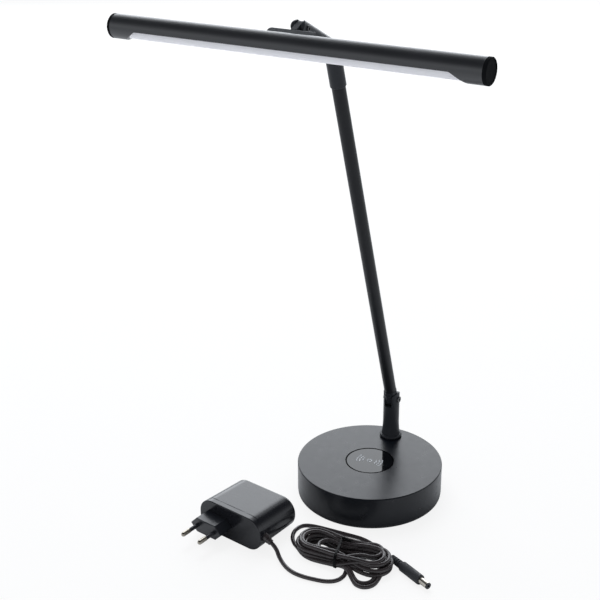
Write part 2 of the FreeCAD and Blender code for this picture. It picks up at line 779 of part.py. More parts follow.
def window_cutter():
    """Slanted opening along the underside, with round inner corners."""
    half = window_length / 2
    depth = 2 * HEAD_RADIUS
    spread = WINDOW_SLANT * (depth - WINDOW_DROP) / (HEAD_RADIUS - WINDOW_DROP)
    corners = [
        Vector(-half, -depth, -WINDOW_DROP), Vector(half, -depth, -WINDOW_DROP),
        Vector(half + spread, -depth, -depth), Vector(-half - spread, -depth, -depth),
    ]
    solid = Part.Face(Part.makePolygon(corners + corners[:1])).extrude(Y_AXIS * 2 * depth)
    edges = []
    for edge in solid.Edges:
        if edge.BoundBox.YLength > depth and edge.BoundBox.ZMin > -2 * WINDOW_DROP:
            edges.append(edge)
    return solid.makeFillet(WINDOW_ROUND, edges)


def tube_length():
    return HEAD_LENGTH - 2 * CAP_RIM


def head_tube():
    length = tube_length()
    tube = ring(Vector(-length / 2, 0, 0), X_AXIS, HEAD_RADIUS, head_inner_radius, length)
    tube = tube.cut(window_cutter())
    for screw in saddle_screw_places():
        tube = tube.cut(radial(screw, 0, 2 * HEAD_RADIUS, SADDLE_SCREW_RADIUS))
    return tube


def insert(radius):
    """Full round bar as long as what lies inside the tube between the caps."""
    return head_rod(radius, -insert_half, 2 * insert_half)


def beyond(low_z, high_z, half_width):
    """Block longer than the head between two heights."""
    return block(Vector(-HEAD_LENGTH, -half_width, low_z), Vector(HEAD_LENGTH, half_width, high_z))


def diffuser():
    """Half-round trough, closed at its ends, that runs inside the tube past the window."""
    shell = insert(insert_radius)
    hollow = head_rod(insert_radius - DIFFUSER_WALL, DIFFUSER_WALL - insert_half,
                      2 * (insert_half - DIFFUSER_WALL))
    return shell.cut(hollow).cut(beyond(diffuser_top, 2 * HEAD_RADIUS, 2 * HEAD_RADIUS))


def led_carrier():
    """Extruded heat sink that fills the upper half of the tube, slotted along its back."""
    bar = insert(insert_radius).cut(beyond(-2 * HEAD_RADIUS, CARRIER_LEVEL, 2 * HEAD_RADIUS))
    bar = bar.cut(beyond(CARRIER_LEVEL + CARRIER_FLOOR, 2 * HEAD_RADIUS, CARRIER_SLOT / 2))
    for screw in saddle_screw_places():
        bar = bar.cut(radial(screw, 0, HEAD_RADIUS, SADDLE_SCREW_HEAD_RADIUS + LOOSE_FIT))
    return bar


def led_board():
    w = LED_BOARD_WIDTH / 2
    return block(Vector(-insert_half, -w, led_board_face), Vector(insert_half, w, CARRIER_LEVEL))


def led_chips():
    pitch = window_length / LED_COUNT
    chips = []
    for i in range(LED_COUNT):
        x = (i + 0.5) * pitch - window_length / 2
        low = Vector(x - LED_LENGTH / 2, -LED_WIDTH / 2, led_board_face - LED_THICKNESS)
        chips.append(block(low, Vector(x + LED_LENGTH / 2, LED_WIDTH / 2, led_board_face)))
    return Part.makeCompound(chips)


def end_cap(side):
    """Pressed-in cap: bevelled rim, shallow dished face and a plug inside the tube."""
    outer = HEAD_LENGTH / 2
    seat = outer - CAP_RIM
    rim = head_rod(HEAD_RADIUS, seat, CAP_RIM)
    face = [e for e in rim.Edges if e.BoundBox.XMin > outer - EDGE_SEARCH]
    rim = rim.makeChamfer(CAP_EDGE, face)
    plug = head_rod(head_inner_radius, seat - CAP_PLUG, CAP_PLUG)
    dish = head_rod(HEAD_RADIUS - 2 * CAP_EDGE - BODY_GAP, outer - CAP_DISH, CAP_DISH)
    cap = rim.fuse(plug).cut(dish)
    return cap if side > 0 else cap.mirror(Vector(0, 0, 0), X_AXIS)


def radial(x, start, end, radius):
    """Rod that points from the head's axis towards the front pivot."""
    a = math.radians(HEAD_LEAN)
    axis = Vector(0, math.sin(a), -math.cos(a))
    return rod(Vector(x, 0, 0) + axis * start, axis, radius, end - start)


def saddle_screw_places():
    return (-SADDLE_SCREW_SPACING / 2, SADDLE_SCREW_SPACING / 2)


def head_bracket():
    """Saddle on the back of the tube with a tongue up to the front fork. Made about the
    front pivot, with the head's axis at the distance of its reach along +Z."""
    length = SADDLE_LENGTH
    seat = HEAD_REACH - HEAD_RADIUS - SADDLE_DEPTH
    low = Vector(-length / 2, -SADDLE_HALF_HEIGHT, seat)
    high = Vector(length / 2, SADDLE_HALF_HEIGHT, HEAD_REACH)
    saddle = block(low, high)
    lower = [e for e in saddle.Edges if e.BoundBox.ZMax < seat + EDGE_SEARCH]
    ends = [e for e in lower if e.BoundBox.XLength < EDGE_SEARCH]
    saddle = saddle.makeChamfer(SADDLE_BEVEL, ends)
    lower = [e for e in saddle.Edges if e.BoundBox.ZMax < seat + EDGE_SEARCH]
    sides = [e for e in lower if e.BoundBox.YLength < EDGE_SEARCH]
    saddle = saddle.makeFillet(SADDLE_BEVEL / 2, sides)
    head_axis = Vector(-length, 0, HEAD_REACH)
    saddle = saddle.cut(rod(head_axis, X_AXIS, HEAD_RADIUS, 2 * length))
    for side in (-1, 1):
        eye = Vector(side * (length / 2 - SADDLE_EYE_DEPTH), 0, seat + SADDLE_DEPTH * 0.55)
        saddle = saddle.cut(rod(eye, X_AXIS * side, SADDLE_EYE_RADIUS, length))
    depth = SADDLE_SCREW_DEPTH
    for x in saddle_screw_places():
        start = Vector(x, 0, HEAD_REACH - HEAD_RADIUS - depth)
        saddle = saddle.cut(rod(start, Z_AXIS, SADDLE_SCREW_RADIUS, 2 * depth))
    width = tongue_width(FRONT_SLOT)
    radius = tongue_radius(NECK_RADIUS)
    blade = block(Vector(-width / 2, -radius, 0), Vector(width / 2, radius, seat))
    blade = blade.fuse(rod(Vector(-width / 2, 0, 0), X_AXIS, radius, width))
    bore = rod(Vector(-width, 0, 0), X_AXIS, SMALL_PIN_RADIUS + RUN_FIT, 2 * width)
    return saddle.fuse(blade).cut(bore)


def saddle_screws():
    inner = head_inner_radius
    screws = []
    for x in saddle_screw_places():
        head = radial(x, inner - SADDLE_SCREW_HEAD_THICKNESS, inner, SADDLE_SCREW_HEAD_RADIUS)
        head = head.common(head_rod(inner, x - HEAD_RADIUS, 2 * HEAD_RADIUS))
        shank = radial(x, inner - SADDLE_SCREW_HEAD_THICKNESS, HEAD_RADIUS + SADDLE_SCREW_DEPTH,
                       SADDLE_SCREW_RADIUS)
        screws.append(head.fuse(shank))
    return Part.makeCompound(screws)


def make_head():
    pieces = {
        "head_tube": head_tube(),
        "diffuser": diffuser(),
        "led_carrier": led_carrier(),
        "led_board": led_board(),
        "led_chips": led_chips(),
        "end_cap_left": end_cap(-1),
        "end_cap_right": end_cap(1),
        "saddle_screws": saddle_screws(),
    }
    for name, shape in pieces.items():
        shape.translate(head_centre)
        save(name, shape)
    save("head_bracket", placed(head_bracket(), front_pivot, HEAD_LEAN))
    save_hinge("front_hinge", front_pivot, NECK_LEAN, HEAD_LEAN, NECK_RADIUS, FRONT_SLOT, SMALL_PIN_RADIUS)


# ---------------------------------------------------------------- adapter
# Made with its pins towards -Y and the middle of its front face over the origin.


def in_adapter_place(shape):
    shape = turned_about_z(shape, ADAPTER_TURN)
    shape.translate(Vector(ADAPTER_FRONT_X, ADAPTER_FRONT_Y, 0))
    return shape


def soft_rectangle(y, width, height, radius):
    """Upright rectangle with round corners that stands on the floor at a given y."""
    top_radius = radius
    low_radius = min(radius, height - radius)
    w = width / 2
    c = math.sqrt(0.5)
    corners = [
        (w - top_radius, height - top_radius, top_radius, 1, 1),
        (-w + top_radius, height - top_radius, top_radius, -1, 1),
        (-w + low_radius, low_radius, low_radius, -1, -1),
        (w - low_radius, low_radius, low_radius, 1, -1),
    ]
    edges = []
    ends = []
    for cx, cz, r, sx, sz in corners:
        side = Vector(cx + sx * r, y, cz)
        level = Vector(cx, y, cz + sz * r)
        mid = Vector(cx + sx * r * c, y, cz + sz * r * c)
        start, end = (side, level) if sx * sz > 0 else (level, side)
        ends.append((start, mid, end))
    for i, (start, mid, end) in enumerate(ends):
        edges.append(Part.Arc(start, mid, end).toShape())
        following = ends[(i + 1) % 4][0]
        if end.distanceToPoint(following) > 1e-6:
            edges.append(Part.makeLine(end, following))
    return Part.Wire(edges)


def adapter_section(y):
    """Outline of the tapered case at a distance behind its front face."""
    share = y / ADAPTER_LENGTH
    width = ADAPTER_WIDTH - ADAPTER_TAPER_WIDTH * share
    height = ADAPTER_HEIGHT - ADAPTER_TAPER_HEIGHT * share
    return soft_rectangle(y, width, height, ADAPTER_ROUND)


def adapter_body(start, end):
    return Part.makeLoft([adapter_section(start), adapter_section(end)], True, True)


def rim_edges(shape, y):
    flat = [e for e in shape.Edges if e.BoundBox.YLength < EDGE_SEARCH]
    return [e for e in flat if abs(e.BoundBox.YMin - y) < EDGE_SEARCH]


def adapter_case():
    case = adapter_body(ADAPTER_COVER, ADAPTER_LENGTH)
    case = case.makeFillet(ADAPTER_REAR_ROUND, rim_edges(case, ADAPTER_LENGTH))
    case = case.makeChamfer(ADAPTER_SEAM, rim_edges(case, ADAPTER_COVER))
    return case.cut(relief_hole())


def adapter_cover():
    cover = adapter_body(0.0, ADAPTER_COVER)
    cover = cover.makeChamfer(ADAPTER_SEAM, rim_edges(cover, ADAPTER_COVER))
    cover = cover.makeFillet(ADAPTER_SEAM * 2, rim_edges(cover, 0.0))
    return cover.cut(relief_hole())


def relief_axis():
    a = math.radians(RELIEF_DROOP)
    return Vector(math.cos(a), 0, -math.sin(a))


def relief_root():
    """Middle of the strain relief's inner end, inside the case."""
    side = Vector(ADAPTER_WIDTH / 2, RELIEF_ALONG, RELIEF_HEIGHT)
    return side - relief_axis() * RELIEF_ROOT_DEPTH


def relief_hole():
    """Round hole across the seam, in the narrow side of the case."""
    return rod(relief_root(), relief_axis(), RELIEF_ROOT_RADIUS, ADAPTER_WIDTH)


def adapter_relief():
    """Tapered strain relief with two grooves round it."""
    start = relief_root() + relief_axis() * RELIEF_ROOT_DEPTH
    root = rod(relief_root(), relief_axis(), RELIEF_ROOT_RADIUS, RELIEF_ROOT_DEPTH)
    cone = Part.makeCone(RELIEF_ROOT_RADIUS, RELIEF_TIP_RADIUS, RELIEF_LENGTH, start, relief_axis())
    rib = RELIEF_LENGTH / 6
    for i in (2, 4):
        at = start + relief_axis() * (rib * i)
        cone = cone.cut(ring(at, relief_axis(), 2 * RELIEF_ROOT_RADIUS, RELIEF_TIP_RADIUS, rib))
    return root.fuse(cone)


def relief_tip():
    return relief_root() + relief_axis() * (RELIEF_ROOT_DEPTH + RELIEF_LENGTH)


def plug_block():
    """Flat six-sided plug body for two pins."""
    t = PLUG_THICKNESS / 2
    points = [
        (PLUG_HALF_WIDTH, 0), (PLUG_HALF_FLAT, t), (-PLUG_HALF_FLAT, t),
        (-PLUG_HALF_WIDTH, 0), (-PLUG_HALF_FLAT, -t), (PLUG_HALF_FLAT, -t),
    ]
    corners = [Vector(PLUG_OFFSET + x, 0, PLUG_AXIS_HEIGHT + z) for x, z in points]
    body = Part.Face(Part.makePolygon(corners + corners[:1])).extrude(-Y_AXIS * PLUG_LENGTH)
    front = [e for e in body.Edges if e.BoundBox.YMax < EDGE_SEARCH - PLUG_LENGTH]
    body = body.makeFillet(PLUG_EDGE_ROUND, front)
    for x in pin_places():
        body = body.cut(rod(pin_root(x), -Y_AXIS, PIN_CORE_RADIUS, PLUG_LENGTH))
    return body


def pin_places():
    return (PLUG_OFFSET - PIN_SPACING / 2, PLUG_OFFSET + PIN_SPACING / 2)


def pin_root(x):
    return Vector(x, PIN_ROOT - PLUG_LENGTH, PLUG_AXIS_HEIGHT)


def mains_pins():
    """Two pins: a thin core from inside the plug body, then the thick bare end."""
    pins = []
    for x in pin_places():
        root = pin_root(x)
        core_length = PIN_ROOT + PIN_SLEEVE_LENGTH
        core = rod(root, -Y_AXIS, PIN_CORE_RADIUS, core_length)
        bare_start = root - Y_AXIS * core_length
        bare_length = PIN_LENGTH - PIN_SLEEVE_LENGTH - PIN_RADIUS
        bare = rod(bare_start, -Y_AXIS, PIN_RADIUS, bare_length)
        tip = Part.makeSphere(PIN_RADIUS, bare_start - Y_AXIS * bare_length)
        pins.append(joined([core, bare, tip]))
    return Part.makeCompound(pins)


def pin_sleeves():
    """Insulating sleeves on the cores, a little slimmer than the bare ends."""
    outer = PIN_CORE_RADIUS + PIN_SLEEVE_WALL
    sleeves = []
    for x in pin_places():
        start = pin_root(x) - Y_AXIS * PIN_ROOT
        sleeves.append(ring(start, -Y_AXIS, outer, PIN_CORE_RADIUS, PIN_SLEEVE_LENGTH))
    return Part.makeCompound(sleeves)


def make_adapter():
    pieces = {
        "adapter_case": adapter_case(),
        "adapter_cover": adapter_cover(),
        "adapter_plug_block": plug_block(),
        "mains_pins": mains_pins(),
        "mains_pin_sleeves": pin_sleeves(),
        "adapter_relief": adapter_relief(),
    }
    for name, shape in pieces.items():
        save(name, in_adapter_place(shape))


# ---------------------------------------------------------------- lead, hank and power plug


def cord_tube(name, points):
    """Round tube along straight runs joined by tangent arcs as large as the runs allow."""
    points = [Vector(*p) for p in points]
    edges = []
    start = points[0]
    radii = []
    for before, corner, after in zip(points, points[1:], points[2:]):
        arrive = (corner - before).normalize()
        leave = (after - corner).normalize()
        turn = arrive.getAngle(leave)
        shorter = min(corner.distanceToPoint(before), after.distanceToPoint(corner))
        setback = 0.45 * shorter
        radius = setback / math.tan(turn / 2)
        radii.append(radius)
        into = corner - arrive * setback
        out = corner + leave * setback
        bisector = (leave - arrive).normalize()
        centre = corner + bisector * (radius / math.cos(turn / 2))
        mid = centre - bisector * radius
        edges.append(Part.LineSegment(start, into).toShape())
        edges.append(Part.Arc(into, mid, out).toShape())
        start = out
    edges.append(Part.LineSegment(start, points[-1]).toShape())
    path = Part.Wire(edges)
    first = (points[1] - points[0]).normalize()
    profile = Part.Wire(Part.makeCircle(CORD_RADIUS, points[0], first))
    tube = path.makePipeShell([profile], True, False)
    expected = math.pi * CORD_RADIUS**2 * path.Length
    text = " ".join("%.1f" % r for r in radii)
    share = tube.Volume / expected
    print("%s: length %.1f, volume %.4f of expected, radii %s" % (name, path.Length, share, text))
    return tube


def lead_exit():
    return in_adapter_place(Part.Vertex(relief_tip())).Vertexes[0].Point


def in_hank_place(shape):
    shape = turned_about_z(shape, HANK_TURN)
    shape.translate(Vector(HANK_X, HANK_Y, 0))
    return shape


def soft_plan(length, width, corner, height):
    """Slab with round corners seen from above."""
    slab = block(Vector(-length / 2, -width / 2, 0), Vector(length / 2, width / 2, height))
    upright = [e for e in slab.Edges if e.BoundBox.ZLength > height / 2]
    return slab.makeFillet(corner, upright)


def cord_hank():
    """Outer shape of the tied hank and of the loose bight that droops out of its front."""
    slab = soft_plan(HANK_LENGTH, HANK_WIDTH, HANK_CORNER, HANK_HEIGHT)
    level = [e for e in slab.Edges if e.BoundBox.ZLength < EDGE_SEARCH]
    slab = in_hank_place(slab.makeFillet(HANK_EDGE, level))
    corners = [Vector(x, y, 0) for x, y in BIGHT_PLAN]
    bight = Part.Face(Part.makePolygon(corners + corners[:1])).extrude(Z_AXIS * 1.5 * cord_diameter)
    upright = [e for e in bight.Edges if e.BoundBox.ZLength > cord_diameter]
    return slab.fuse(bight.makeFillet(cord_diameter, upright)).cut(hank_tie())


def hank_tie():
    """Flat wire tie, once round the hank."""
    t = TIE_THICKNESS
    outer = soft_plan(HANK_LENGTH, HANK_WIDTH + 2 * t, HANK_CORNER, HANK_HEIGHT + t)
    outer = outer.makeFillet(HANK_EDGE, [e for e in outer.Edges if e.BoundBox.ZLength < EDGE_SEARCH])
    inner = soft_plan(HANK_LENGTH, HANK_WIDTH, HANK_CORNER, HANK_HEIGHT - t)
    inner = inner.makeFillet(HANK_EDGE - t, [e for e in inner.Edges if e.BoundBox.ZLength < EDGE_SEARCH])
    inner.translate(Z_AXIS * t)
    slice_low = Vector(TIE_OFFSET - TIE_WIDTH / 2, -HANK_WIDTH, 0)
    slice_high = Vector(TIE_OFFSET + TIE_WIDTH / 2, HANK_WIDTH, HANK_HEIGHT + 2 * t)
    return in_hank_place(outer.cut(inner).common(block(slice_low, slice_high)))


def in_plug_place(shape):
    shape = turned_about_z(shape, POWER_PLUG_TURN)
    shape.translate(Vector(POWER_PLUG_X, POWER_PLUG_Y, GRIP_RADIUS))
    return shape


def plug_boot():
    """Slightly tapered sleeve over the end of the lead, with a few shallow grooves."""
    boot = Part.makeCone(BOOT_TIP_RADIUS, BOOT_ROOT_RADIUS, BOOT_LENGTH, Vector(0, 0, 0), X_AXIS)
    pitch = BOOT_LENGTH / (BOOT_GROOVES + 1)
    for i in range(BOOT_GROOVES):
        start = Vector((i + 1) * pitch - pitch / 4, 0, 0)
        groove = ring(start, X_AXIS, 2 * BOOT_ROOT_RADIUS, BOOT_GROOVE_RADIUS, pitch / 2)
        boot = boot.cut(groove)
    return boot


def plug_grip():
    start = BOOT_LENGTH
    grip = rod(Vector(start, 0, 0), X_AXIS, GRIP_RADIUS, GRIP_LENGTH)
    ends = [e for e in grip.Edges if e.BoundBox.XLength < EDGE_SEARCH]
    grip = grip.makeFillet(GRIP_RADIUS / 6, ends)
    return grip


def barrel_start():
    return BOOT_LENGTH + GRIP_LENGTH


def plug_barrel():
    start = Vector(barrel_start(), 0, 0)
    return ring(start, X_AXIS, BARREL_RADIUS, BARREL_RADIUS - BARREL_WALL, BARREL_LENGTH - INSULATOR_PROUD)


def plug_insulator():
    start = Vector(barrel_start(), 0, 0)
    core = ring(start, X_AXIS, BARREL_RADIUS - BARREL_WALL, BARREL_BORE_RADIUS, BARREL_LENGTH)
    lip_start = Vector(barrel_start() + BARREL_LENGTH - INSULATOR_PROUD, 0, 0)
    return core.fuse(ring(lip_start, X_AXIS, BARREL_RADIUS, BARREL_BORE_RADIUS, INSULATOR_PROUD))


def make_lead():
    exit_point = lead_exit()
    save("cord_lead", cord_tube("cord_lead", [exit_point] + LEAD_ROUTE))
    plug_entry = Vector(POWER_PLUG_X, POWER_PLUG_Y, GRIP_RADIUS)
    save("cord_tail", cord_tube("cord_tail", TAIL_ROUTE + [plug_entry]))
    save("cord_hank", cord_hank())
    save("hank_tie", hank_tie())
    save("power_plug_boot", in_plug_place(plug_boot()))
    save("power_plug_grip", in_plug_place(plug_grip()))
    save("power_plug_barrel", in_plug_place(plug_barrel()))
    save("power_plug_insulator", in_plug_place(plug_insulator()))


make_base()
make_post()
make_arm()
make_neck()
make_head()
make_adapter()
make_lead()
print(count, "sub-parts")
print("lower pivot", lower_pivot)
print("upper pivot", upper_pivot)
print("front pivot", front_pivot)
print("head centre", head_centre)
print("lead leaves the adapter at", lead_exit())
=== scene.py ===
# %% [markdown]
# # A piano lamp and its mains adapter
# The lamp is a weighted round base, a short post, a long arm with two elbows, and a slim light bar.
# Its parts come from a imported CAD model, which stays exactly where it is. This lesson adds what a
# CAD solid can't give: the cord as one soft line, the printed touch mark, and finishes that look
# like lacquer, moulded plastic, nickel and opal acrylic.

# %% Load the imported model
import math
import random

import bmesh
import bpy
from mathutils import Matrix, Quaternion, Vector


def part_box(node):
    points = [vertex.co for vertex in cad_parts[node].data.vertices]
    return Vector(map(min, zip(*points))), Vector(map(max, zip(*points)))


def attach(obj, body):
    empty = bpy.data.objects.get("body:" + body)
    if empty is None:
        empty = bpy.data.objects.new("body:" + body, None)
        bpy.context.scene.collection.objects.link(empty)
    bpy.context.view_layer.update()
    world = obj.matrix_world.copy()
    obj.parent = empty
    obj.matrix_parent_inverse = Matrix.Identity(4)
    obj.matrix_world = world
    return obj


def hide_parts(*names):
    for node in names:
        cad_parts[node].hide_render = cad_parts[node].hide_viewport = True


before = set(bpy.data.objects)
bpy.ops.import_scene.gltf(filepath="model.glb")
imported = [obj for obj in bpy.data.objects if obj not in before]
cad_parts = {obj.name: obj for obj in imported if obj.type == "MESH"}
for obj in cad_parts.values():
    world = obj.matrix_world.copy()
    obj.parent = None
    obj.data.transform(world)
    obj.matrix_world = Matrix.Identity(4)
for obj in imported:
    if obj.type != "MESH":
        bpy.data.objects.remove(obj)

MM = 0.001
FULL_TURN = 2 * math.pi
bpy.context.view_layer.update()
bpy.context.scene.view_settings.view_transform = "Standard"

# %% [markdown]
# ## Camera
# A long lens from a little above, as for a catalogue picture, keeps the light bar straight and
# shows the top of the base. The camera looks along one direction, so its turn comes from that
# direction and not from three separate angles.

# %% Camera
LENS_MM = 71.18
CAMERA_PLACE = (0.4466, -0.8137, 0.5906)
CAMERA_LOOK = Vector((-0.4939, 0.7727, -0.3981))
CAMERA_ROLL = math.radians(-0.42)

camera_data = bpy.data.cameras.new("camera")
camera_data.lens = LENS_MM
camera = bpy.data.objects.new("camera", camera_data)
camera.location = CAMERA_PLACE
camera.rotation_mode = "QUATERNION"
aim = CAMERA_LOOK.to_track_quat("-Z", "Y")
camera.rotation_quaternion = aim @ Quaternion((0, 0, 1), CAMERA_ROLL)
bpy.context.scene.collection.objects.link(camera)
bpy.context.scene.camera = camera
print("camera at", CAMERA_PLACE, "with a lens of", LENS_MM, "mm")

# %% [markdown]
# ## The lead
# A thin round PVC lead, 3.5 mm across and about 1.9 m long, runs from the adapter's strain relief
# into a hank, and from the hank round its back to the small power plug. It could be three tubes,
# but a real lead has no joins, so it is one NURBS curve through the whole length.
# The first and last stretches are loose. Nine turns lie between them: each turn goes left along
# the front, round the left end, right along the back and round the right end. The turns differ in
# reach and height, because hands never wind two alike, and two of them sag out in front.

# %% Route of the loose ends, in millimetres
CORD_DIAMETER = 3.5
LEAD_EXIT = (-20.750208, -129.882976, 10.406750)
LEAD_ROUTE = [
    (-15.4, -130.6, 7.8), (-8.6, -136.2, 3.8), (0.5, -141.6, 1.95), (9.8, -145.0, 1.9),
    (19.5, -145.4, 1.9), (30.0, -143.6, 1.9), (39.8, -141.0, 1.9), (46.6, -135.4, 1.9),
    (48.2, -127.0, 1.9), (46.7, -122.2, 1.9),
]
TAIL_ROUTE = [
    (-4.1, -114.2, 2.0), (-11.4, -109.9, 1.9), (-17.4, -103.1, 1.9), (-20.9, -93.3, 1.9),
    (-18.8, -83.5, 1.9), (-9.5, -79.6, 1.9), (5.8, -77.6, 1.9), (21.5, -75.6, 1.9),
    (35.5, -73.9, 1.9), (48.2, -77.0, 1.9), (59.5, -82.6, 3.0),
]
PLUG_ENTRY = (71.0, -87.9, 4.3)

# %% Turns of the hank
HANK_PLACE = (34.0, -107.5)
HANK_TURN = math.radians(4.0)
TIE_ALONG = -2.0
RUN_STEP = 7.0
STOP_SHORT = 1.325  # how far before an end's reach its runs stop, in radii of that end
END_STEP = math.radians(36)
HAND_WOUND = 0.12

# One row for each turn. A run has its place across the hank and its height. An end has how far
# it reaches along the hank, its height, where its middle lies across, and its radius.
TURNS = [
    # front run    left end                  back run     right end
    (-2.0, 1.9, -33.0, 1.9, 1.9, 10.6, 3.8, 1.9, 38.8, 1.9, 1.9, 10.6),
    (-11.1, 1.9, -37.0, 1.9, 1.9, 13.9, 14.6, 1.9, 35.9, 5.2, 2.5, 12.0),
    (-7.5, 4.4, -34.5, 5.2, 2.1, 10.6, 7.4, 3.6, 40.5, 6.2, 1.5, 11.0),
    (-11.2, 5.4, -38.5, 5.3, 1.8, 13.9, 14.6, 5.4, 42.5, 3.6, 1.9, 13.9),
    (-7.6, 8.2, -33.0, 9.0, 2.4, 10.6, 11.0, 5.4, 38.0, 9.5, 2.3, 10.8),
    (-3.8, 7.0, -21.0, 9.2, 1.6, 8.0, 7.8, 7.2, 32.0, 11.4, 9.4, 8.8),
    (-11.1, 8.9, -40.0, 8.7, 2.0, 13.9, 14.4, 8.9, 43.0, 7.2, 2.6, 13.4),
    (-5.8, 11.8, -35.5, 12.2, 2.2, 10.8, 10.9, 9.4, 36.5, 12.2, 2.8, 10.8),
    (-10.9, 12.2, -38.0, 11.9, 3.0, 13.2, 13.2, 12.3, 40.5, 10.8, 4.0, 12.0),
]
LAST_FRONT = (-14.4, 5.0)

# The lead comes in from the front, to the right of the tie, and turns into the first run.
ENTERING = [(10.6, -11.0, 1.9), (8.2, -7.2, 1.9), (4.4, -4.4, 1.9)]
# Where the front run of the second and third turn sags out of the hank, from right to left.
OUTER_SAG = [
    (38.8, -6.0, 3.0), (39.3, -13.0, 1.9), (39.0, -19.8, 1.9), (36.0, -24.6, 1.9),
    (31.0, -27.0, 1.9), (25.7, -26.2, 1.9), (21.8, -22.8, 2.4), (17.2, -18.8, 3.8),
    (11.8, -14.8, 5.6), (5.6, -11.8, 4.2),
]
INNER_SAG = [
    (35.6, -3.0, 4.8), (35.8, -7.6, 3.2), (35.7, -12.1, 2.0), (35.4, -16.5, 1.9),
    (33.3, -20.2, 1.9), (29.7, -22.3, 1.9), (25.5, -22.3, 1.9), (21.9, -20.2, 2.1),
    (18.5, -17.2, 3.2), (15.0, -14.2, 4.8), (11.2, -11.4, 5.7), (6.4, -8.8, 4.4),
]
# The last front run comes down to the floor outside the others, and becomes the tail.
LEAVING = [(-2.0, -14.4, 4.8), (-12.0, -14.6, 3.8), (-22.5, -13.6, 2.6), (-31.5, -9.9, 2.0)]


def in_hank(along, across, height):
    """A point of the hank's own plan, in the lamp's frame."""
    cosine, sine = math.cos(HANK_TURN), math.sin(HANK_TURN)
    return (
        HANK_PLACE[0] + along * cosine - across * sine,
        HANK_PLACE[1] + along * sine + across * cosine,
        height,
    )


def between(a, b, share):
    """The value that lies a share of the way from a to b."""
    return a + (b - a) * share


def round_end(side, end):
    """Five points round one end of a turn: the right end for side 1, the left end for side -1."""
    reach, height, middle, radius = end
    corner = radius / math.cos(END_STEP / 2)
    for step in (2, 1, 0, -1, -2):
        turned = step * END_STEP * side
        along = reach - side * radius + side * corner * math.cos(turned)
        yield along, middle + corner * math.sin(turned), height


def run(side, line, end, edge):
    """Points from the tie to the start of an end, which ease over from the line to the edge."""
    reach, height, _, radius = end
    stop = reach - STOP_SHORT * side * radius
    steps = round(abs(stop - TIE_ALONG) / RUN_STEP)
    for number in range(steps + 1):
        share = number / steps
        eased = share * share * (3 - 2 * share)
        across = between(line[0], edge, eased)
        yield between(TIE_ALONG, stop, share), across, between(line[1], height, eased)


def left_half(front, left, back):
    """Points of a turn from the tie at the front, round the left end, to the tie at the back."""
    yield from run(-1, front, left, left[2] - left[3])
    yield from round_end(-1, left)
    yield from reversed(list(run(-1, back, left, left[2] + left[3])))


def right_half(back, right, front):
    """Points of a turn from the back, round the right end, to the front again."""
    yield from list(run(1, back, right, right[2] + right[3]))[1:]
    yield from round_end(1, right)
    yield from reversed(list(run(1, front, right, right[2] - right[3]))[1:])


random.seed(7)
hank_points = list(ENTERING)
for number, turn in enumerate(TURNS):
    front, left, back, right = turn[0:2], turn[2:6], turn[6:8], turn[8:12]
    hank_points += left_half(front, left, back)
    next_front = TURNS[number + 1][0:2] if number + 1 < len(TURNS) else LAST_FRONT
    round_right = list(right_half(back, right, next_front))
    sag = {0: OUTER_SAG, 1: INNER_SAG}.get(number)
    if sag:
        widest = max(range(len(round_right)), key=lambda place: round_right[place][0])
        round_right = round_right[:widest + 1] + sag
    hank_points += round_right
hank_points += LEAVING


def by_hand():
    """A small shift, because no hand lays two turns quite alike."""
    return random.uniform(-HAND_WOUND, HAND_WOUND)


hank_route = [
    in_hank(along + by_hand(), across + by_hand(), height) for along, across, height in hank_points
]
cord_route = [LEAD_EXIT] + LEAD_ROUTE + hank_route + TAIL_ROUTE + [PLUG_ENTRY]
print("the cord follows", len(cord_route), "points,", len(hank_route), "of them in the hank")

# %% [markdown]
# The curve's order and its end rule are set once the points are in, because Blender works both
# out from the number of points. A round bevel of half the diameter turns the line into a tube,
# and the tube is kept as a mesh, which has a true box. The same curve without its bevel gives
# the line down its middle, and from that the lead's length.

# %% The lead as one tube
def soft_line(name, places, thickness, steps, sides):
    """A NURBS curve through the lamp's frame, in millimetres, with a round bevel."""
    data = bpy.data.curves.new(name, "CURVE")
    data.dimensions = "3D"
    data.resolution_u = steps
    data.bevel_depth = thickness / 2 * MM
    data.bevel_resolution = sides
    data.use_fill_caps = True
    spline = data.splines.new("NURBS")
    spline.points.add(len(places) - 1)
    for point, place in zip(spline.points, places):
        point.co = (*(Vector(place) * MM), 1.0)
    spline.order_u = 3
    spline.use_endpoint_u = True
    return data


def as_mesh(name, curve_data):
    """The curve's tube as a mesh object at the origin."""
    drawn = bpy.data.objects.new(name + "_line", curve_data)
    mesh = bpy.data.meshes.new_from_object(drawn)
    bpy.data.objects.remove(drawn)
    mesh.name = name
    mesh.materials.clear()
    mesh.polygons.foreach_set("use_smooth", [True] * len(mesh.polygons))
    piece = bpy.data.objects.new(name, mesh)
    bpy.context.scene.collection.objects.link(piece)
    return piece


cord_curve = soft_line("cord", cord_route, CORD_DIAMETER, steps=8, sides=5)
cord = as_mesh("cord", cord_curve)
cord_curve.bevel_depth = 0
bare = bpy.data.objects.new("bare_line", cord_curve)
bare_mesh = bpy.data.meshes.new_from_object(bare)
cord_middle = [vertex.co.copy() for vertex in bare_mesh.vertices]
bpy.data.objects.remove(bare)
bpy.data.meshes.remove(bare_mesh)
CORD_LENGTH = round(sum((b - a).length for a, b in zip(cord_middle, cord_middle[1:])), 3)

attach(cord, "base")
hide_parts("cord_lead", "cord_hank", "cord_tail")
print("the cord is", CORD_LENGTH, "m long, in", len(cord.data.polygons), "faces")

# %% [markdown]
# ## The tie
# A flat plastic-covered wire holds the hank together, and its ends are twisted together on top.
# A torus would look like a ring, so the band starts as a circle of edges that is pressed to the
# bundle's outline, drawn out to the band's width and given its thickness.

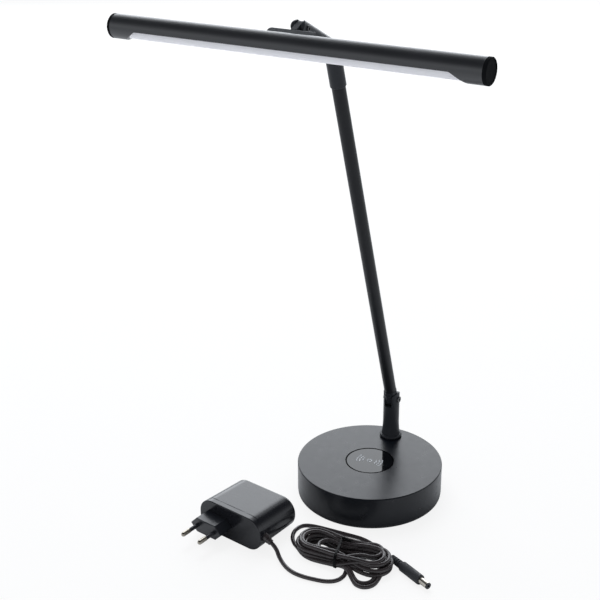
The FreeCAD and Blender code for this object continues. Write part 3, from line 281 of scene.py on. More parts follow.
# %% Wire tie
TIE_WIDTH = 2.3
TIE_THICKNESS = 0.7
TIE_HALF_ACROSS = 16.5
TIE_CENTRE = 0.3
TIE_FOOT = 0.4
TIE_TOP = 14.0
TIE_SLANT = 0.22
TIE_DIP = 1.1
TIE_EDGE = 0.22
MERGE_WITHIN = 1e-6  # in metres
# A power of one would keep the loop round, and a smaller one squares it off.
POWER_ACROSS = 0.55
POWER_UP = 0.62


def tie_outline(angle):
    """Place on the squashed loop: nearly flat below and on top, round at the front and back."""
    across = math.copysign(abs(math.cos(angle)) ** POWER_ACROSS, math.cos(angle))
    up = math.copysign(abs(math.sin(angle)) ** POWER_UP, math.sin(angle))
    dip = TIE_DIP * max(0.0, up) * (1 - abs(across)) ** 2
    return TIE_CENTRE + across * TIE_HALF_ACROSS, TIE_FOOT + TIE_TOP / 2 * (1 + up) - dip


def mesh_object(name, bm):
    """The bmesh as a smooth-shaded object at the origin."""
    bmesh.ops.remove_doubles(bm, verts=bm.verts, dist=MERGE_WITHIN)
    bmesh.ops.recalc_face_normals(bm, faces=bm.faces)
    for face in bm.faces:
        face.smooth = True
    mesh = bpy.data.meshes.new(name)
    bm.to_mesh(mesh)
    bm.free()
    piece = bpy.data.objects.new(name, mesh)
    bpy.context.scene.collection.objects.link(piece)
    return piece


bm = bmesh.new()
bmesh.ops.create_circle(bm, radius=1.0, segments=56)
for vertex in bm.verts:
    across, height = tie_outline(math.atan2(vertex.co.y, vertex.co.x))
    along = TIE_ALONG - TIE_WIDTH / 2 - TIE_SLANT * across
    vertex.co = Vector(in_hank(along, across, height)) * MM
band = bmesh.ops.extrude_edge_only(bm, edges=bm.edges)
far_edge = [item for item in band["geom"] if isinstance(item, bmesh.types.BMVert)]
side = Vector((math.cos(HANK_TURN), math.sin(HANK_TURN), 0)) * TIE_WIDTH * MM
bmesh.ops.translate(bm, verts=far_edge, vec=side)
tie = mesh_object("wire_tie", bm)
wall = tie.modifiers.new("wall", "SOLIDIFY")
wall.thickness = TIE_THICKNESS * MM
wall.offset = 0
edge = tie.modifiers.new("edge", "BEVEL")
edge.width = TIE_EDGE * MM
edge.segments = 2
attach(tie, "base")
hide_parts("hank_tie")
print("tie band has", len(tie.data.vertices), "points")

# %% [markdown]
# The two ends are wound round each other, like the ends of a bread-bag tie. Two short curves on
# one helix, half a turn apart, give the twist at almost no cost.

# %% Twisted ends of the tie
TWIST_START = in_hank(TIE_ALONG - 2.4, 11.0, TIE_TOP + 0.7)
TWIST_TIP = in_hank(TIE_ALONG + 7.6, 8.0, TIE_TOP + 1.4)
TWIST_TURNS = 2.5
STEPS_PER_TURN = 10
WIRE_DIAMETER = 1.1
HELIX_RADIUS = 0.6
# Over the last part of their length the two ends stand away from each other.
OPEN_FROM = 0.8
OPEN_BY = 4


def twisted_end(name, phase):
    """One wire of the twisted pair, from the band to its tip."""
    start, tip = Vector(TWIST_START), Vector(TWIST_TIP)
    forward = (tip - start).normalized()
    side = forward.cross(Vector((0, 0, 1))).normalized()
    up = side.cross(forward)
    steps = round(TWIST_TURNS * STEPS_PER_TURN)
    places = []
    for number in range(steps + 1):
        share = number / steps
        angle = phase + share * TWIST_TURNS * FULL_TURN
        open_end = 1 + OPEN_BY * max(0.0, share - OPEN_FROM)
        turned = side * math.cos(angle) + up * math.sin(angle)
        places.append(start.lerp(tip, share) + turned * HELIX_RADIUS * open_end)
    piece = as_mesh(name, soft_line(name, places, WIRE_DIAMETER, steps=4, sides=2))
    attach(piece, "base")
    return piece


tie_ends = [twisted_end(f"tie_end_{i}", i * math.pi) for i in (0, 1)]
print("tie ends:", [end.name for end in tie_ends])

# %% [markdown]
# ## The touch mark
# The glossy disc in the base is a touch switch. It carries a plain printed mark: a small ring
# between arcs. The print is a film only a few hundredths of a millimetre thick, but it is modelled
# as one, so it still shows when the part gets another finish. Each line is a short edge that is
# spun round the ring's centre, and the film's thickness is added afterwards.

# %% Printed ring and arcs, and a ring of painted gap shade
DISC_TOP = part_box("touch_disc")[1].z / MM
DISC_RADIUS = (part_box("touch_disc")[1].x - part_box("touch_disc")[0].x) / MM / 2
FILM = 0.05
RING_RADIUS = 2.1
ARC_RADII = (6.2, 8.9, 11.6)
ARC_HALF_ANGLE = math.radians(31)
LINE_WIDTH = 0.7
# Width and inset of the dark ring of painted gap shade at the disc's edge.
GAP_SHADE_WIDTH = 0.9
GAP_SHADE_INSET = 0.05
MARK_TURN = math.radians(6)
# A skew direction, along which no two points of the print are level.
SORT_ALONG = Vector((1.0, 0.618, 0.271))


def printed_line(bm, radius, start, sweep, steps, width=LINE_WIDTH):
    """A flat line of the print: an edge as long as the line is wide, spun round the centre."""
    direction = Vector((math.cos(start), math.sin(start), 0))
    surface = Vector((0, 0, DISC_TOP))
    inner = bm.verts.new((direction * (radius - width / 2) + surface) * MM)
    outer = bm.verts.new((direction * (radius + width / 2) + surface) * MM)
    bmesh.ops.spin(
        bm, geom=[inner, outer, bm.edges.new((inner, outer))], cent=(0, 0, 0), axis=(0, 0, 1),
        angle=sweep, steps=steps, use_merge=sweep == FULL_TURN,
    )


def as_film(name, bm):
    """A flat film, the print or the painted gap shade, with its thickness, riding on the base."""
    bmesh.ops.recalc_face_normals(bm, faces=bm.faces)
    bmesh.ops.solidify(bm, geom=bm.faces[:], thickness=-FILM * MM)
    # Solidify makes the rim in a chance order, and sorting gives the same mesh on every run.
    bm.verts.sort(key=lambda vertex: vertex.co.dot(SORT_ALONG))
    bm.faces.sort(key=lambda face: face.calc_center_median().dot(SORT_ALONG))
    piece = mesh_object(name, bm)
    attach(piece, "base")
    return piece


bm = bmesh.new()
printed_line(bm, RING_RADIUS, 0.0, FULL_TURN, steps=40)
for facing in (0.0, math.pi):
    for radius in ARC_RADII:
        start = facing + MARK_TURN - ARC_HALF_ANGLE
        printed_line(bm, radius, start, 2 * ARC_HALF_ANGLE, steps=18)
touch_mark = as_film("touch_mark", bm)

# The dark ring at the disc's edge is painted shade for the gap round the disc, laid as a film like
# the print.
bm = bmesh.new()
gap_shade_radius = DISC_RADIUS - GAP_SHADE_WIDTH / 2 - GAP_SHADE_INSET
printed_line(bm, gap_shade_radius, 0.0, FULL_TURN, steps=96, width=GAP_SHADE_WIDTH)
painted_gap_shade = as_film("painted_gap_shade", bm)
for film in (touch_mark, painted_gap_shade):
    print(film.name, "has", len(film.data.polygons), "faces")

# %% [markdown]
# ## Finishes
# Nearly everything on this lamp is black, so the finishes differ by gloss and grain and hardly by
# colour. Colours are written as sRGB hex values and turned to Blender's linear ones by one
# function. One helper adds a node and makes its links. Each pattern reads Object coordinates,
# which are metres in the lamp's frame, so a scale is one over the real size of a grain.

# %% Colour and node helpers
def linear(hex_colour):
    """An sRGB hex value as the linear colour that a shader takes."""
    shares = [int(hex_colour[i:i + 2], 16) / 255 for i in (1, 3, 5)]
    return (*(c / 12.92 if c <= 0.04045 else ((c + 0.055) / 1.055) ** 2.4 for c in shares), 1.0)


def per_metre(size_mm):
    """Noise scale that gives features of that size."""
    return 1 / (size_mm * MM)


def fill(material, node, inputs):
    """Sets a node's inputs: a socket is linked, and anything else becomes the input's own value."""
    for name, value in inputs.items():
        if isinstance(value, bpy.types.NodeSocket):
            material.node_tree.links.new(value, node.inputs[name])
        else:
            node.inputs[name].default_value = value


def add_node(material, kind, inputs=None, **settings):
    """Adds one node with its settings and links, and returns it."""
    node = material.node_tree.nodes.new(kind)
    for setting, value in settings.items():
        setattr(node, setting, value)
    fill(material, node, inputs or {})
    return node


def new_finish(name, **inputs):
    """A new material and its shader, with values set on the shader's own sockets."""
    material = bpy.data.materials.new(name)
    material.use_nodes = True
    shader = material.node_tree.nodes["Principled BSDF"]
    fill(material, shader, {key.replace("_", " "): value for key, value in inputs.items()})
    place = add_node(material, "ShaderNodeTexCoord").outputs["Object"]
    return material, shader, place


print("a black of #101012 is", [round(c, 4) for c in linear("#101012")[:3]], "in linear colour")

# %% [markdown]
# Moulded and lacquered blacks share one recipe. A slow drift over some 30 mm makes the black a
# little dustier here and there, a middle noise varies the gloss as handling does, and a fine bump
# is the mould's spark-eroded grain or the lacquer's orange peel. The numbers differ per part.

# %% Recipe for the blacks
DRIFT_MM = 28
HANDLING_MM = 7


def black_finish(name, colour, dusty, roughness, spread, grain_mm, grain_height_mm, specular):
    """A black with a slow drift of tint, a gloss that varies by spread, and a fine bump."""
    material, shader, place = new_finish(name, Specular_IOR_Level=specular)
    drift = add_node(
        material, "ShaderNodeTexNoise",
        {"Vector": place, "Scale": per_metre(DRIFT_MM), "Detail": 3.0},
    )
    tint = add_node(
        material, "ShaderNodeMix", {0: drift.outputs["Fac"], 6: linear(colour), 7: linear(dusty)},
        data_type="RGBA",
    )
    handling = add_node(
        material, "ShaderNodeTexNoise",
        {"Vector": place, "Scale": per_metre(HANDLING_MM), "Detail": 4.0},
    )
    gloss = add_node(
        material, "ShaderNodeMapRange",
        {"Value": handling.outputs["Fac"], "From Min": 0.3, "From Max": 0.7,
         "To Min": roughness - spread, "To Max": roughness + spread},
    )
    grain = add_node(
        material, "ShaderNodeTexNoise",
        {"Vector": place, "Scale": per_metre(grain_mm), "Detail": 2.0},
    )
    bump = add_node(
        material, "ShaderNodeBump",
        {"Height": grain.outputs["Fac"], "Distance": grain_height_mm * MM, "Strength": 0.8},
    )
    fill(material, shader, {
        "Base Color": tint.outputs[2],
        "Roughness": gloss.outputs["Result"],
        "Normal": bump.outputs["Normal"],
    })
    return material


# Satin lacquer over moulded ABS: even and soft, it mirrors a bright room only at a flat angle.
satin_lacquer = black_finish(
    "satin_black_lacquer", "#0a0c12", "#12151b",
    roughness=0.30, spread=0.03, grain_mm=0.55, grain_height_mm=0.012, specular=0.33,
)
# Spark-eroded ABS, the flat grain of a mould that isn't polished.
moulded_abs = black_finish(
    "moulded_black_abs", "#1c1d21", "#282a2e",
    roughness=0.42, spread=0.05, grain_mm=0.5, grain_height_mm=0.03, specular=0.40,
)
# The plug block comes from a mould with a finer grain and is a little shinier.
satin_abs = black_finish(
    "satin_black_abs", "#16181c", "#202227",
    roughness=0.31, spread=0.04, grain_mm=0.4, grain_height_mm=0.012, specular=0.56,
)
# The caps of the light bar are dull, so that they don't catch the light beside the player's eye.
dull_abs = black_finish(
    "dull_black_abs", "#111214", "#191a1c",
    roughness=0.62, spread=0.05, grain_mm=0.5, grain_height_mm=0.03, specular=0.02,
)
# The power plug's grip is moulded in a softer grade that hardly shines.
soft_abs = black_finish(
    "soft_black_grip", "#2a2b2e", "#343538",
    roughness=0.5, spread=0.05, grain_mm=0.5, grain_height_mm=0.03, specular=0.25,
)
# Stove enamel on turned and cast metal: smooth, with a soft orange peel.
black_enamel = black_finish(
    "black_stove_enamel", "#26282c", "#2e3034",
    roughness=0.37, spread=0.05, grain_mm=0.9, grain_height_mm=0.012, specular=0.20,
)
# Blackened steel screws, with the dry sheen of an oxide.
black_oxide = black_finish(
    "black_oxide_steel", "#141417", "#232327",
    roughness=0.36, spread=0.07, grain_mm=0.35, grain_height_mm=0.02, specular=0.55,
)
# Cut-cell foam rubber under the foot, dull and coarse.
foam_rubber = black_finish(
    "cut_foam_rubber", "#18181a", "#242426",
    roughness=0.82, spread=0.05, grain_mm=0.8, grain_height_mm=0.12, specular=0.2,
)
blacks = (
    satin_lacquer, moulded_abs, satin_abs, dull_abs, soft_abs,
    black_enamel, black_oxide, foam_rubber,
)
print("blacks:", [black.name for black in blacks])

# %% [markdown]
# The light bar and the arm are aluminium tubes that were drawn through a die and then painted
# matt. The die leaves lines along the tube, far too faint to see one by one but enough to draw
# highlights out lengthwise. The noise is stretched along the tube by a Mapping node.

# %% Painted aluminium tubes
DIE_LINE_MM = 0.45
PAINT_GRAIN_MM = 0.6
TUBE_DRIFT_MM = 35
ALONG_X = (0.02, 1.0, 1.0)
PAINT_SHARE = 0.45
BAR_LIES = (0, 0, 0)
ARM_STANDS = (0, math.radians(90), 0)


def painted_tube(name, colour, dusty, turn, roughness, specular):
    """Paint over a drawn tube, with a turn that lays the tube's length along X for the noise."""
    material, shader, place = new_finish(name, Specular_IOR_Level=specular)
    turned = add_node(
        material, "ShaderNodeMapping", {"Vector": place, "Rotation": turn, "Scale": ALONG_X}
    )
    die_lines = add_node(
        material, "ShaderNodeTexNoise",
        {"Vector": turned.outputs["Vector"], "Scale": per_metre(DIE_LINE_MM), "Detail": 3.0},
    )
    paint = add_node(
        material, "ShaderNodeTexNoise",
        {"Vector": place, "Scale": per_metre(PAINT_GRAIN_MM), "Detail": 2.0},
    )
    both = add_node(
        material, "ShaderNodeMix",
        {0: PAINT_SHARE, 2: die_lines.outputs["Fac"], 3: paint.outputs["Fac"]},
    )
    bump = add_node(
        material, "ShaderNodeBump",
        {"Height": both.outputs[0], "Distance": 0.012 * MM, "Strength": 0.7},
    )
    drift = add_node(
        material, "ShaderNodeTexNoise",
        {"Vector": place, "Scale": per_metre(TUBE_DRIFT_MM), "Detail": 3.0},
    )
    gloss = add_node(
        material, "ShaderNodeMapRange",
        {"Value": drift.outputs["Fac"], "To Min": roughness - 0.04, "To Max": roughness + 0.05},
    )
    tint = add_node(
        material, "ShaderNodeMix",
        {0: drift.outputs["Fac"], 6: linear(colour), 7: linear(dusty)}, data_type="RGBA",
    )
    fill(material, shader, {
        "Base Color": tint.outputs[2],
        "Roughness": gloss.outputs["Result"],
        "Normal": bump.outputs["Normal"],
    })
    return material


bar_paint = painted_tube(
    "matt_painted_aluminium_bar", "#1f2023", "#28292d", BAR_LIES, roughness=0.36, specular=0.85,
)
arm_paint = painted_tube(
    "matt_painted_aluminium_arm", "#17181b", "#1f2023", ARM_STANDS, roughness=0.38, specular=0.22,
)
print("tubes:", bar_paint.name, arm_paint.name)

# %% [markdown]
# The adapter's housing came out of a polished mould, so it is glossy and shows everything that
# touched it. Hairline scratches run mostly one way and take the shine off in thin lines, and a
# few specks of dust lie on top.

# %% Glossy adapter housing
SCRATCH_TURN = (0, 0, math.radians(31))
SCRATCH_STRETCH = (0.03, 1.0, 1.0)
SCRATCH_MM = 0.35
SCRATCH_ROUGHNESS = 0.10
SMUDGE_MM = 14
DUST_SPACING_MM = 5
WAVE_MM = 9

gloss_abs, shader, place = new_finish("polished_black_abs", Specular_IOR_Level=0.42)
scratch_place = add_node(
    gloss_abs, "ShaderNodeMapping",
    {"Vector": place, "Rotation": SCRATCH_TURN, "Scale": SCRATCH_STRETCH},
)
scratches = add_node(
    gloss_abs, "ShaderNodeTexNoise",
    {"Vector": scratch_place.outputs["Vector"], "Scale": per_metre(SCRATCH_MM), "Detail": 2.0},
)
hairlines = add_node(
    gloss_abs, "ShaderNodeMapRange",
    {"Value": scratches.outputs["Fac"], "From Min": 0.62, "From Max": 0.74,
     "To Min": 0.0, "To Max": 1.0},
)
smudge = add_node(
    gloss_abs, "ShaderNodeTexNoise", {"Vector": place, "Scale": per_metre(SMUDGE_MM), "Detail": 5.0}
)
shine = add_node(
    gloss_abs, "ShaderNodeMapRange",
    {"Value": smudge.outputs["Fac"], "From Min": 0.35, "From Max": 0.75,
     "To Min": 0.16, "To Max": 0.26},
)
worn = add_node(
    gloss_abs, "ShaderNodeMath",
    {0: hairlines.outputs["Result"], 1: SCRATCH_ROUGHNESS, 2: shine.outputs["Result"]},
    operation="MULTIPLY_ADD",
)
specks = add_node(
    gloss_abs, "ShaderNodeTexVoronoi", {"Vector": place, "Scale": per_metre(DUST_SPACING_MM)}
)
dust = add_node(
    gloss_abs, "ShaderNodeMapRange",
    {"Value": specks.outputs["Distance"], "From Min": 0.02, "From Max": 0.05,
     "To Min": 1.0, "To Max": 0.0},
)
gloss_tint = add_node(
    gloss_abs, "ShaderNodeMix",
    {0: dust.outputs["Result"], 6: linear("#191a1e"), 7: linear("#393a3f")}, data_type="RGBA",
)
waviness = add_node(
    gloss_abs, "ShaderNodeTexNoise", {"Vector": place, "Scale": per_metre(WAVE_MM), "Detail": 0.0}
)
gloss_bump = add_node(
    gloss_abs, "ShaderNodeBump",
    {"Height": waviness.outputs["Fac"], "Distance": 0.02 * MM, "Strength": 0.6},
)
fill(gloss_abs, shader, {
    "Base Color": gloss_tint.outputs[2],
    "Roughness": worn.outputs[0],
    "Normal": gloss_bump.outputs["Normal"],
})
print("adapter finish:", gloss_abs.name)

# %% [markdown]
# The touch disc is a black pane under clear gloss. It is almost a mirror, so its only detail is
# where fingers have been: the smudges raise the roughness a little.

# %% Touch disc, its print and the painted gap shade
FINGER_MM = 11
INK_GRAIN_MM = 0.5

touch_glass, shader, place = new_finish("black_backed_glass", Specular_IOR_Level=0.3, IOR=1.52)
fingers = add_node(
    touch_glass, "ShaderNodeTexNoise",
    {"Vector": place, "Scale": per_metre(FINGER_MM), "Detail": 6.0, "Distortion": 0.8},
)
smears = add_node(
    touch_glass, "ShaderNodeMapRange",
    {"Value": fingers.outputs["Fac"], "From Min": 0.4, "From Max": 0.7,
     "To Min": 0.03, "To Max": 0.10},
)
glass_tint = add_node(
    touch_glass, "ShaderNodeMix",
    {0: fingers.outputs["Fac"], 6: linear("#07080a"), 7: linear("#0c0d10")}, data_type="RGBA",
)
fill(touch_glass, shader, {
    "Base Color": glass_tint.outputs[2], "Roughness": smears.outputs["Result"],
})

print_ink, shader, place = new_finish("pale_screen_print", Specular_IOR_Level=0.4)
thin_ink = add_node(
    print_ink, "ShaderNodeTexNoise",
    {"Vector": place, "Scale": per_metre(INK_GRAIN_MM), "Detail": 3.0},
)
ink_tint = add_node(
    print_ink, "ShaderNodeMix",
    {0: thin_ink.outputs["Fac"], 6: linear("#a4a8ae"), 7: linear("#b9bcc0")}, data_type="RGBA",
)
ink_gloss = add_node(
    print_ink, "ShaderNodeMapRange",
    {"Value": thin_ink.outputs["Fac"], "To Min": 0.35, "To Max": 0.5},
)
fill(print_ink, shader, {
    "Base Color": ink_tint.outputs[2], "Roughness": ink_gloss.outputs["Result"],
})
# A dead black ring of film at the disc's edge is painted shade, standing for the dark gap round the
# disc.
gap_shade_black = black_finish(
    "painted_gap_shade_black", "#060607", "#0a0a0b",
    roughness=0.6, spread=0.05, grain_mm=0.5, grain_height_mm=0.005, specular=0.0,
)
print("disc finishes:", touch_glass.name, print_ink.name, gap_shade_black.name)

# %% [markdown]
# Nickel plating on turned brass is warm grey and bright. Turning leaves fine rings, so the bump
# is a noise that changes only along the axis of the turning. The zinc on the base's screws and the
# bare aluminium that carries the LEDs are made in the same way, but cooler in colour. A metal keeps
# the default IOR.

# %% Nickel, zinc and bare aluminium
MAINS_PIN_AXIS = (0.106, 0.994, 0.0)
POWER_PLUG_AXIS = (0.923, -0.386, 0.0)
TARNISH_MM = 2.5


def turned_metal(name, colour, worn_colour, axis, ring_mm, roughness):
    """Bare or plated metal with fine rings round an axis and a faint tarnish."""
    material, shader, place = new_finish(name, Metallic=1.0)
    along = add_node(material, "ShaderNodeVectorMath", {0: place, 1: axis}, operation="DOT_PRODUCT")
    rings = add_node(
        material, "ShaderNodeTexNoise",
        {"W": along.outputs["Value"], "Scale": per_metre(ring_mm), "Detail": 2.0},
        noise_dimensions="1D",
    )
    bump = add_node(
        material, "ShaderNodeBump",
        {"Height": rings.outputs["Fac"], "Distance": 0.006 * MM, "Strength": 0.7},
    )
    tarnish = add_node(
        material, "ShaderNodeTexNoise",
        {"Vector": place, "Scale": per_metre(TARNISH_MM), "Detail": 4.0},
    )
    tint = add_node(
        material, "ShaderNodeMix",
        {0: tarnish.outputs["Fac"], 6: linear(colour), 7: linear(worn_colour)}, data_type="RGBA",
    )
    gloss = add_node(
        material, "ShaderNodeMapRange",
        {"Value": tarnish.outputs["Fac"], "To Min": roughness - 0.06, "To Max": roughness + 0.08},
    )
    fill(material, shader, {
        "Base Color": tint.outputs[2],
        "Roughness": gloss.outputs["Result"],
        "Normal": bump.outputs["Normal"],
    })
    return material


pin_nickel = turned_metal(
    "nickel_plated_pins", "#aea89d", "#928c81", MAINS_PIN_AXIS, ring_mm=0.25, roughness=0.24,
)
plug_nickel = turned_metal(
    "nickel_plated_barrel", "#d2cdc4", "#b9b2a7", POWER_PLUG_AXIS, ring_mm=0.3, roughness=0.22,
)
zinc_steel = turned_metal(
    "zinc_plated_steel", "#b9bcc0", "#989ba0", (0.0, 0.0, 1.0), ring_mm=0.4, roughness=0.34,
)
bare_aluminium = turned_metal(
    "bright_aluminium", "#c6c8ca", "#adb0b3", (1.0, 0.0, 0.0), ring_mm=0.5, roughness=0.32,
)
print("metals:", pin_nickel.name, plug_nickel.name, zinc_steel.name, bare_aluminium.name)

# %% [markdown]
# The lead's PVC is soft and slightly greasy. A low waviness of its skin comes from the extruder,
# and a faint bloom makes the black a warm brown-grey where it was handled. The tie's plastic is
# darker and dull.

# %% PVC lead and tie
BLOOM_MM = 9
SKIN_MM = 1.1


def pvc(name, colour, bloom, roughness, specular):
    """Extruded PVC, whose tint and gloss drift together where the bloom lies."""
    material, shader, place = new_finish(name, Specular_IOR_Level=specular)
    drift = add_node(
        material, "ShaderNodeTexNoise",
        {"Vector": place, "Scale": per_metre(BLOOM_MM), "Detail": 4.0},
    )
    tint = add_node(
        material, "ShaderNodeMix",
        {0: drift.outputs["Fac"], 6: linear(colour), 7: linear(bloom)}, data_type="RGBA",
    )
    gloss = add_node(
        material, "ShaderNodeMapRange",
        {"Value": drift.outputs["Fac"], "To Min": roughness - 0.08, "To Max": roughness + 0.08},
    )
    skin = add_node(
        material, "ShaderNodeTexNoise",
        {"Vector": place, "Scale": per_metre(SKIN_MM), "Detail": 3.0},
    )
    bump = add_node(
        material, "ShaderNodeBump",
        {"Height": skin.outputs["Fac"], "Distance": 0.03 * MM, "Strength": 0.6},
    )
    fill(material, shader, {
        "Base Color": tint.outputs[2],
        "Roughness": gloss.outputs["Result"],
        "Normal": bump.outputs["Normal"],
    })
    return material


cord_pvc = pvc("soft_black_pvc", "#282425", "#393233", roughness=0.27, specular=0.60)
tie_pvc = pvc("tie_black_pvc", "#060607", "#0b0b0d", roughness=0.50, specular=0.12)
print("PVC:", cord_pvc.name, tie_pvc.name)

# %% [markdown]
# Opal acrylic lets light sink in and come out again softly. Subsurface scattering gives that
# depth. It is a very pale cool white with a silky face, which the extruder leaves finely lined.

# %% Opal diffuser
OPAL_DEPTH_MM = 4
EXTRUDER_LINE_MM = 0.6
EXTRUDER_STRETCH = (0.03, 1.0, 1.0)
CLOUD_MM = 30

opal, shader, place = new_finish(
    "opal_acrylic", Subsurface_Weight=0.35, Subsurface_Scale=OPAL_DEPTH_MM * MM,
    Specular_IOR_Level=0.45, IOR=1.49,
)
shader.inputs["Subsurface Radius"].default_value = (1.0, 0.98, 1.0)
opal_place = add_node(opal, "ShaderNodeMapping", {"Vector": place, "Scale": EXTRUDER_STRETCH})
opal_lines = add_node(
    opal, "ShaderNodeTexNoise",
    {"Vector": opal_place.outputs["Vector"], "Scale": per_metre(EXTRUDER_LINE_MM), "Detail": 2.0},
)
opal_bump = add_node(
    opal, "ShaderNodeBump",
    {"Height": opal_lines.outputs["Fac"], "Distance": 0.01 * MM, "Strength": 0.25},
)
cloud = add_node(
    opal, "ShaderNodeTexNoise", {"Vector": place, "Scale": per_metre(CLOUD_MM), "Detail": 2.0}
)
opal_tint = add_node(
    opal, "ShaderNodeMix",
    {0: cloud.outputs["Fac"], 6: linear("#f3f0f6"), 7: linear("#fbf9fd")}, data_type="RGBA",
)
opal_gloss = add_node(
    opal, "ShaderNodeMapRange", {"Value": cloud.outputs["Fac"], "To Min": 0.3, "To Max": 0.4}
)
fill(opal, shader, {
    "Base Color": opal_tint.outputs[2],
    "Roughness": opal_gloss.outputs["Result"],
    "Normal": opal_bump.outputs["Normal"],
})
print("diffuser finish:", opal.name)

# %% [markdown]
# Parts inside the housings aren't seen until the lamp is taken apart, but they get real finishes
# too: a cast weight, a green control board, a white light board and the yellow phosphor of its
# LEDs. Two colours and a grain are enough for each.

# %% Finishes inside
def inner_finish(name, colour, other, spot_mm, roughness, grain_height_mm, metallic=0.0):
    """Two colours in spots, with the gloss and the grain following them."""
    material, shader, place = new_finish(name, Metallic=metallic)
    spots = add_node(
        material, "ShaderNodeTexNoise",
        {"Vector": place, "Scale": per_metre(spot_mm), "Detail": 4.0},
    )
    tint = add_node(
        material, "ShaderNodeMix",
        {0: spots.outputs["Fac"], 6: linear(colour), 7: linear(other)}, data_type="RGBA",
    )
    gloss = add_node(
        material, "ShaderNodeMapRange",
        {"Value": spots.outputs["Fac"], "To Min": roughness - 0.06, "To Max": roughness + 0.06},
    )
    bump = add_node(
        material, "ShaderNodeBump",
        {"Height": spots.outputs["Fac"], "Distance": grain_height_mm * MM},
    )
    fill(material, shader, {
        "Base Color": tint.outputs[2],
        "Roughness": gloss.outputs["Result"],
        "Normal": bump.outputs["Normal"],
    })
    return material


cast_iron = inner_finish(
    "cast_iron", "#4a4745", "#6a6662", spot_mm=1.5, roughness=0.6, grain_height_mm=0.15,
    metallic=1.0,
)
green_board = inner_finish(
    "solder_masked_board", "#174a2c", "#1f6b3c", spot_mm=4.0, roughness=0.35, grain_height_mm=0.02,
)
white_board = inner_finish(
    "white_light_board", "#d9dadb", "#eceded", spot_mm=5.0, roughness=0.4, grain_height_mm=0.01,
)
phosphor = inner_finish(
    "yellow_phosphor", "#e6c64a", "#f2da78", spot_mm=0.8, roughness=0.5, grain_height_mm=0.01,
)
print("inside:", cast_iron.name, green_board.name, white_board.name, phosphor.name)

# %% [markdown]
# ## Giving each part its finish
# The table goes from finish to parts, as a maker's parts list does. A part that isn't in it would
# keep the plain colour of the CAD model, so the list printed at the end has to be empty.

# %% Assign the finishes
parts_by_finish = {
    satin_lacquer: ["base_shell"],
    moulded_abs: ["base_plate", "mains_pin_sleeves", "power_socket", "power_plug_insulator",
                  "swivel_bush"],
    soft_abs: ["power_plug_boot", "power_plug_grip"],
    dull_abs: ["end_cap_left", "end_cap_right"],
    black_enamel: ["post", "arm_foot", "arm_sleeve", "neck", "head_bracket"],
    arm_paint: ["arm_tube"],
    bar_paint: ["head_tube"],
    black_oxide: ["lower_hinge_screw", "lower_hinge_nut", "upper_hinge_screw", "upper_hinge_nut",
                  "front_hinge_screw", "front_hinge_nut", "saddle_screws", "lower_hinge_washers",
                  "upper_hinge_washers", "front_hinge_washers"],
    foam_rubber: ["foot_pad"],
    touch_glass: ["touch_disc"],
    gloss_abs: ["adapter_case", "adapter_cover"],
    satin_abs: ["adapter_plug_block"],
    pin_nickel: ["mains_pins"],
    plug_nickel: ["power_plug_barrel", "power_socket_pin", "touch_contact"],
    zinc_steel: ["base_screws", "swivel_nut", "swivel_spring"],
    bare_aluminium: ["led_carrier"],
    cord_pvc: ["arm_wire", "adapter_relief", "cord_lead", "cord_hank", "cord_tail"],
    tie_pvc: ["hank_tie"],
    opal: ["diffuser"],
    cast_iron: ["base_weight"],
    green_board: ["control_board"],
    white_board: ["led_board"],
    phosphor: ["led_chips"],
}
left_over = set(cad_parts)
for finish, names in parts_by_finish.items():
    for name in names:
        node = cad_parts[name]
        node.data.materials.clear()
        node.data.materials.append(finish)
        left_over.discard(name)
cord.data.materials.append(cord_pvc)
tie.data.materials.append(tie_pvc)
for end in tie_ends:
    end.data.materials.append(tie_pvc)
touch_mark.data.materials.append(print_ink)
painted_gap_shade.data.materials.append(gap_shade_black)
print("parts without a finish:", sorted(left_over))

# %% [markdown]
# ## The cord's size
# Its true length and thickness are printed.

print("declared a cord of", CORD_LENGTH, "m by", CORD_DIAMETER, "mm")

# %% [markdown]
# ## Floor and light
# A pale floor runs out past the picture. Most of what the camera sees of it is plain white, so it
# is bright like the paper of a catalogue, and the rest is lit, so it keeps a faint soft shadow.

# %% Floor
FLOOR_SIZE = 40.0
FIBRE_MM = 3
PLAIN_WHITE_SHARE = 0.84
bm = bmesh.new()
bmesh.ops.create_grid(bm, x_segments=1, y_segments=1, size=FLOOR_SIZE / 2)
floor = mesh_object("floor", bm)
paper, shader, place = new_finish("white_paper", Roughness=0.9, Specular_IOR_Level=0.1)
fibre = add_node(
    paper, "ShaderNodeTexNoise", {"Vector": place, "Scale": per_metre(FIBRE_MM), "Detail": 3.0}
)
paper_tint = add_node(
    paper, "ShaderNodeMix", {0: fibre.outputs["Fac"], 6: linear("#f4f4f5"), 7: linear("#f7f7f7")},
    data_type="RGBA",
)
fill(paper, shader, {"Base Color": paper_tint.outputs[2]})
seen = add_node(paper, "ShaderNodeLightPath")
white_share = add_node(
    paper, "ShaderNodeMath", {0: seen.outputs["Is Camera Ray"], 1: PLAIN_WHITE_SHARE},
    operation="MULTIPLY",
)
plain_white = add_node(paper, "ShaderNodeEmission", {"Color": (1, 1, 1, 1), "Strength": 1.0})
floor_mix = add_node(
    paper, "ShaderNodeMixShader",
    {0: white_share.outputs[0], 1: shader.outputs["BSDF"], 2: plain_white.outputs["Emission"]},
)
fill(paper, paper.node_tree.nodes["Material Output"], {"Surface": floor_mix.outputs[0]})
floor.data.materials.append(paper)
print("floor of", FLOOR_SIZE, "m")

# %% [markdown]
# The room is an even soft light, a little cool like daylight. What gloss mirrors of it has a shape,
# as in a studio: a lit white sweep behind the lamp, white walls low down all round, and a dark
# ceiling. Black gloss needs both bright and dark, since with white all round it only looks grey.

# %% World
ROOM_LEVEL = 0.55
DAYLIGHT = (0.92, 0.955, 1.0)
WHITE = (1.0, 1.0, 1.0)
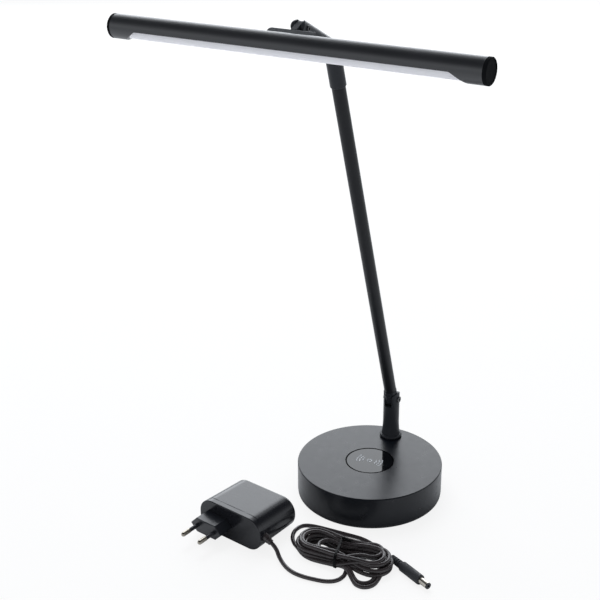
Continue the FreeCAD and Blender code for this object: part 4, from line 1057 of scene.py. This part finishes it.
# The sweep's edge is the cosine of the angle from its middle, between dark and lit. The walls'
# edge is the sine of the angle above the floor, between lit and dark.
SWEEP_DIRECTION = (-0.4936, 0.7729, 0.39865)
SWEEP_EDGE = (0.74, 0.84)
WALL_EDGE = (0.16, 0.64)
WALL_LEVEL = 1.0
CEILING_LEVEL = 0.04

world = bpy.data.worlds.new("studio")
world.use_nodes = True
bpy.context.scene.world = world
background = world.node_tree.nodes["Background"]
rays = add_node(world, "ShaderNodeLightPath")
towards = add_node(world, "ShaderNodeTexCoord").outputs["Generated"]
facing_sweep = add_node(
    world, "ShaderNodeVectorMath", {0: towards, 1: SWEEP_DIRECTION}, operation="DOT_PRODUCT"
)
sweep_level = add_node(
    world, "ShaderNodeMapRange",
    {"Value": facing_sweep.outputs["Value"], "From Min": SWEEP_EDGE[0], "From Max": SWEEP_EDGE[1],
     "To Min": CEILING_LEVEL, "To Max": WALL_LEVEL},
    interpolation_type="SMOOTHSTEP",
)
upward = add_node(world, "ShaderNodeSeparateXYZ", {"Vector": towards})
wall_level = add_node(
    world, "ShaderNodeMapRange",
    {"Value": upward.outputs["Z"], "From Min": WALL_EDGE[0], "From Max": WALL_EDGE[1],
     "To Min": WALL_LEVEL, "To Max": CEILING_LEVEL},
    interpolation_type="SMOOTHSTEP",
)
mirrored = add_node(
    world, "ShaderNodeMath", {0: sweep_level.outputs["Result"], 1: wall_level.outputs["Result"]},
    operation="MAXIMUM",
)
gloss_or_glass = add_node(
    world, "ShaderNodeMath",
    {0: rays.outputs["Is Glossy Ray"], 1: rays.outputs["Is Transmission Ray"]},
    operation="MAXIMUM",
)
lit_level = add_node(
    world, "ShaderNodeMix", {0: gloss_or_glass.outputs[0], 2: ROOM_LEVEL, 3: mirrored.outputs[0]}
)
seen_level = add_node(
    world, "ShaderNodeMix", {0: rays.outputs["Is Camera Ray"], 2: lit_level.outputs[0], 3: 1.0}
)
seen_colour = add_node(
    world, "ShaderNodeMix",
    {0: rays.outputs["Is Camera Ray"], 6: (*DAYLIGHT, 1.0), 7: (*WHITE, 1.0)}, data_type="RGBA",
)
fill(world, background, {"Color": seen_colour.outputs[2], "Strength": seen_level.outputs[0]})
print("room level", ROOM_LEVEL, "and in gloss", WALL_LEVEL, "low down,", CEILING_LEVEL, "above")

# %% [markdown]
# Black gloss is drawn by what it mirrors. A wide soft light stands behind the lamp, low enough to
# be mirrored in the flat tops of the base, the disc and the adapter. A second one above and behind
# lights the lamp evenly, and it is kept out of the gloss, where it would be one more bright spot.

# %% Lights
def soft_light(name, place, towards, width, height, power):
    """A large area light that the camera doesn't see, with sizes in metres and power in watts."""
    data = bpy.data.lights.new(name, "AREA")
    data.shape = "RECTANGLE"
    data.size, data.size_y = width, height
    data.energy = power
    data.color = DAYLIGHT
    lamp = bpy.data.objects.new(name, data)
    lamp.location = place
    lamp.rotation_mode = "QUATERNION"
    lamp.rotation_quaternion = (Vector(towards) - Vector(place)).to_track_quat("-Z", "Y")
    lamp.visible_camera = False
    bpy.context.scene.collection.objects.link(lamp)
    return lamp


back_window = soft_light(
    "back_window", (-1.25, 1.95, 1.05), towards=(0, 0, 0.05), width=2.6, height=1.7, power=39,
)
overhead = soft_light(
    "overhead", (-0.9, 0.7, 2.3), towards=(0, 0, 0.1), width=1.6, height=1.2, power=24,
)
overhead.visible_glossy = False
print("lights:", back_window.name, overhead.name)
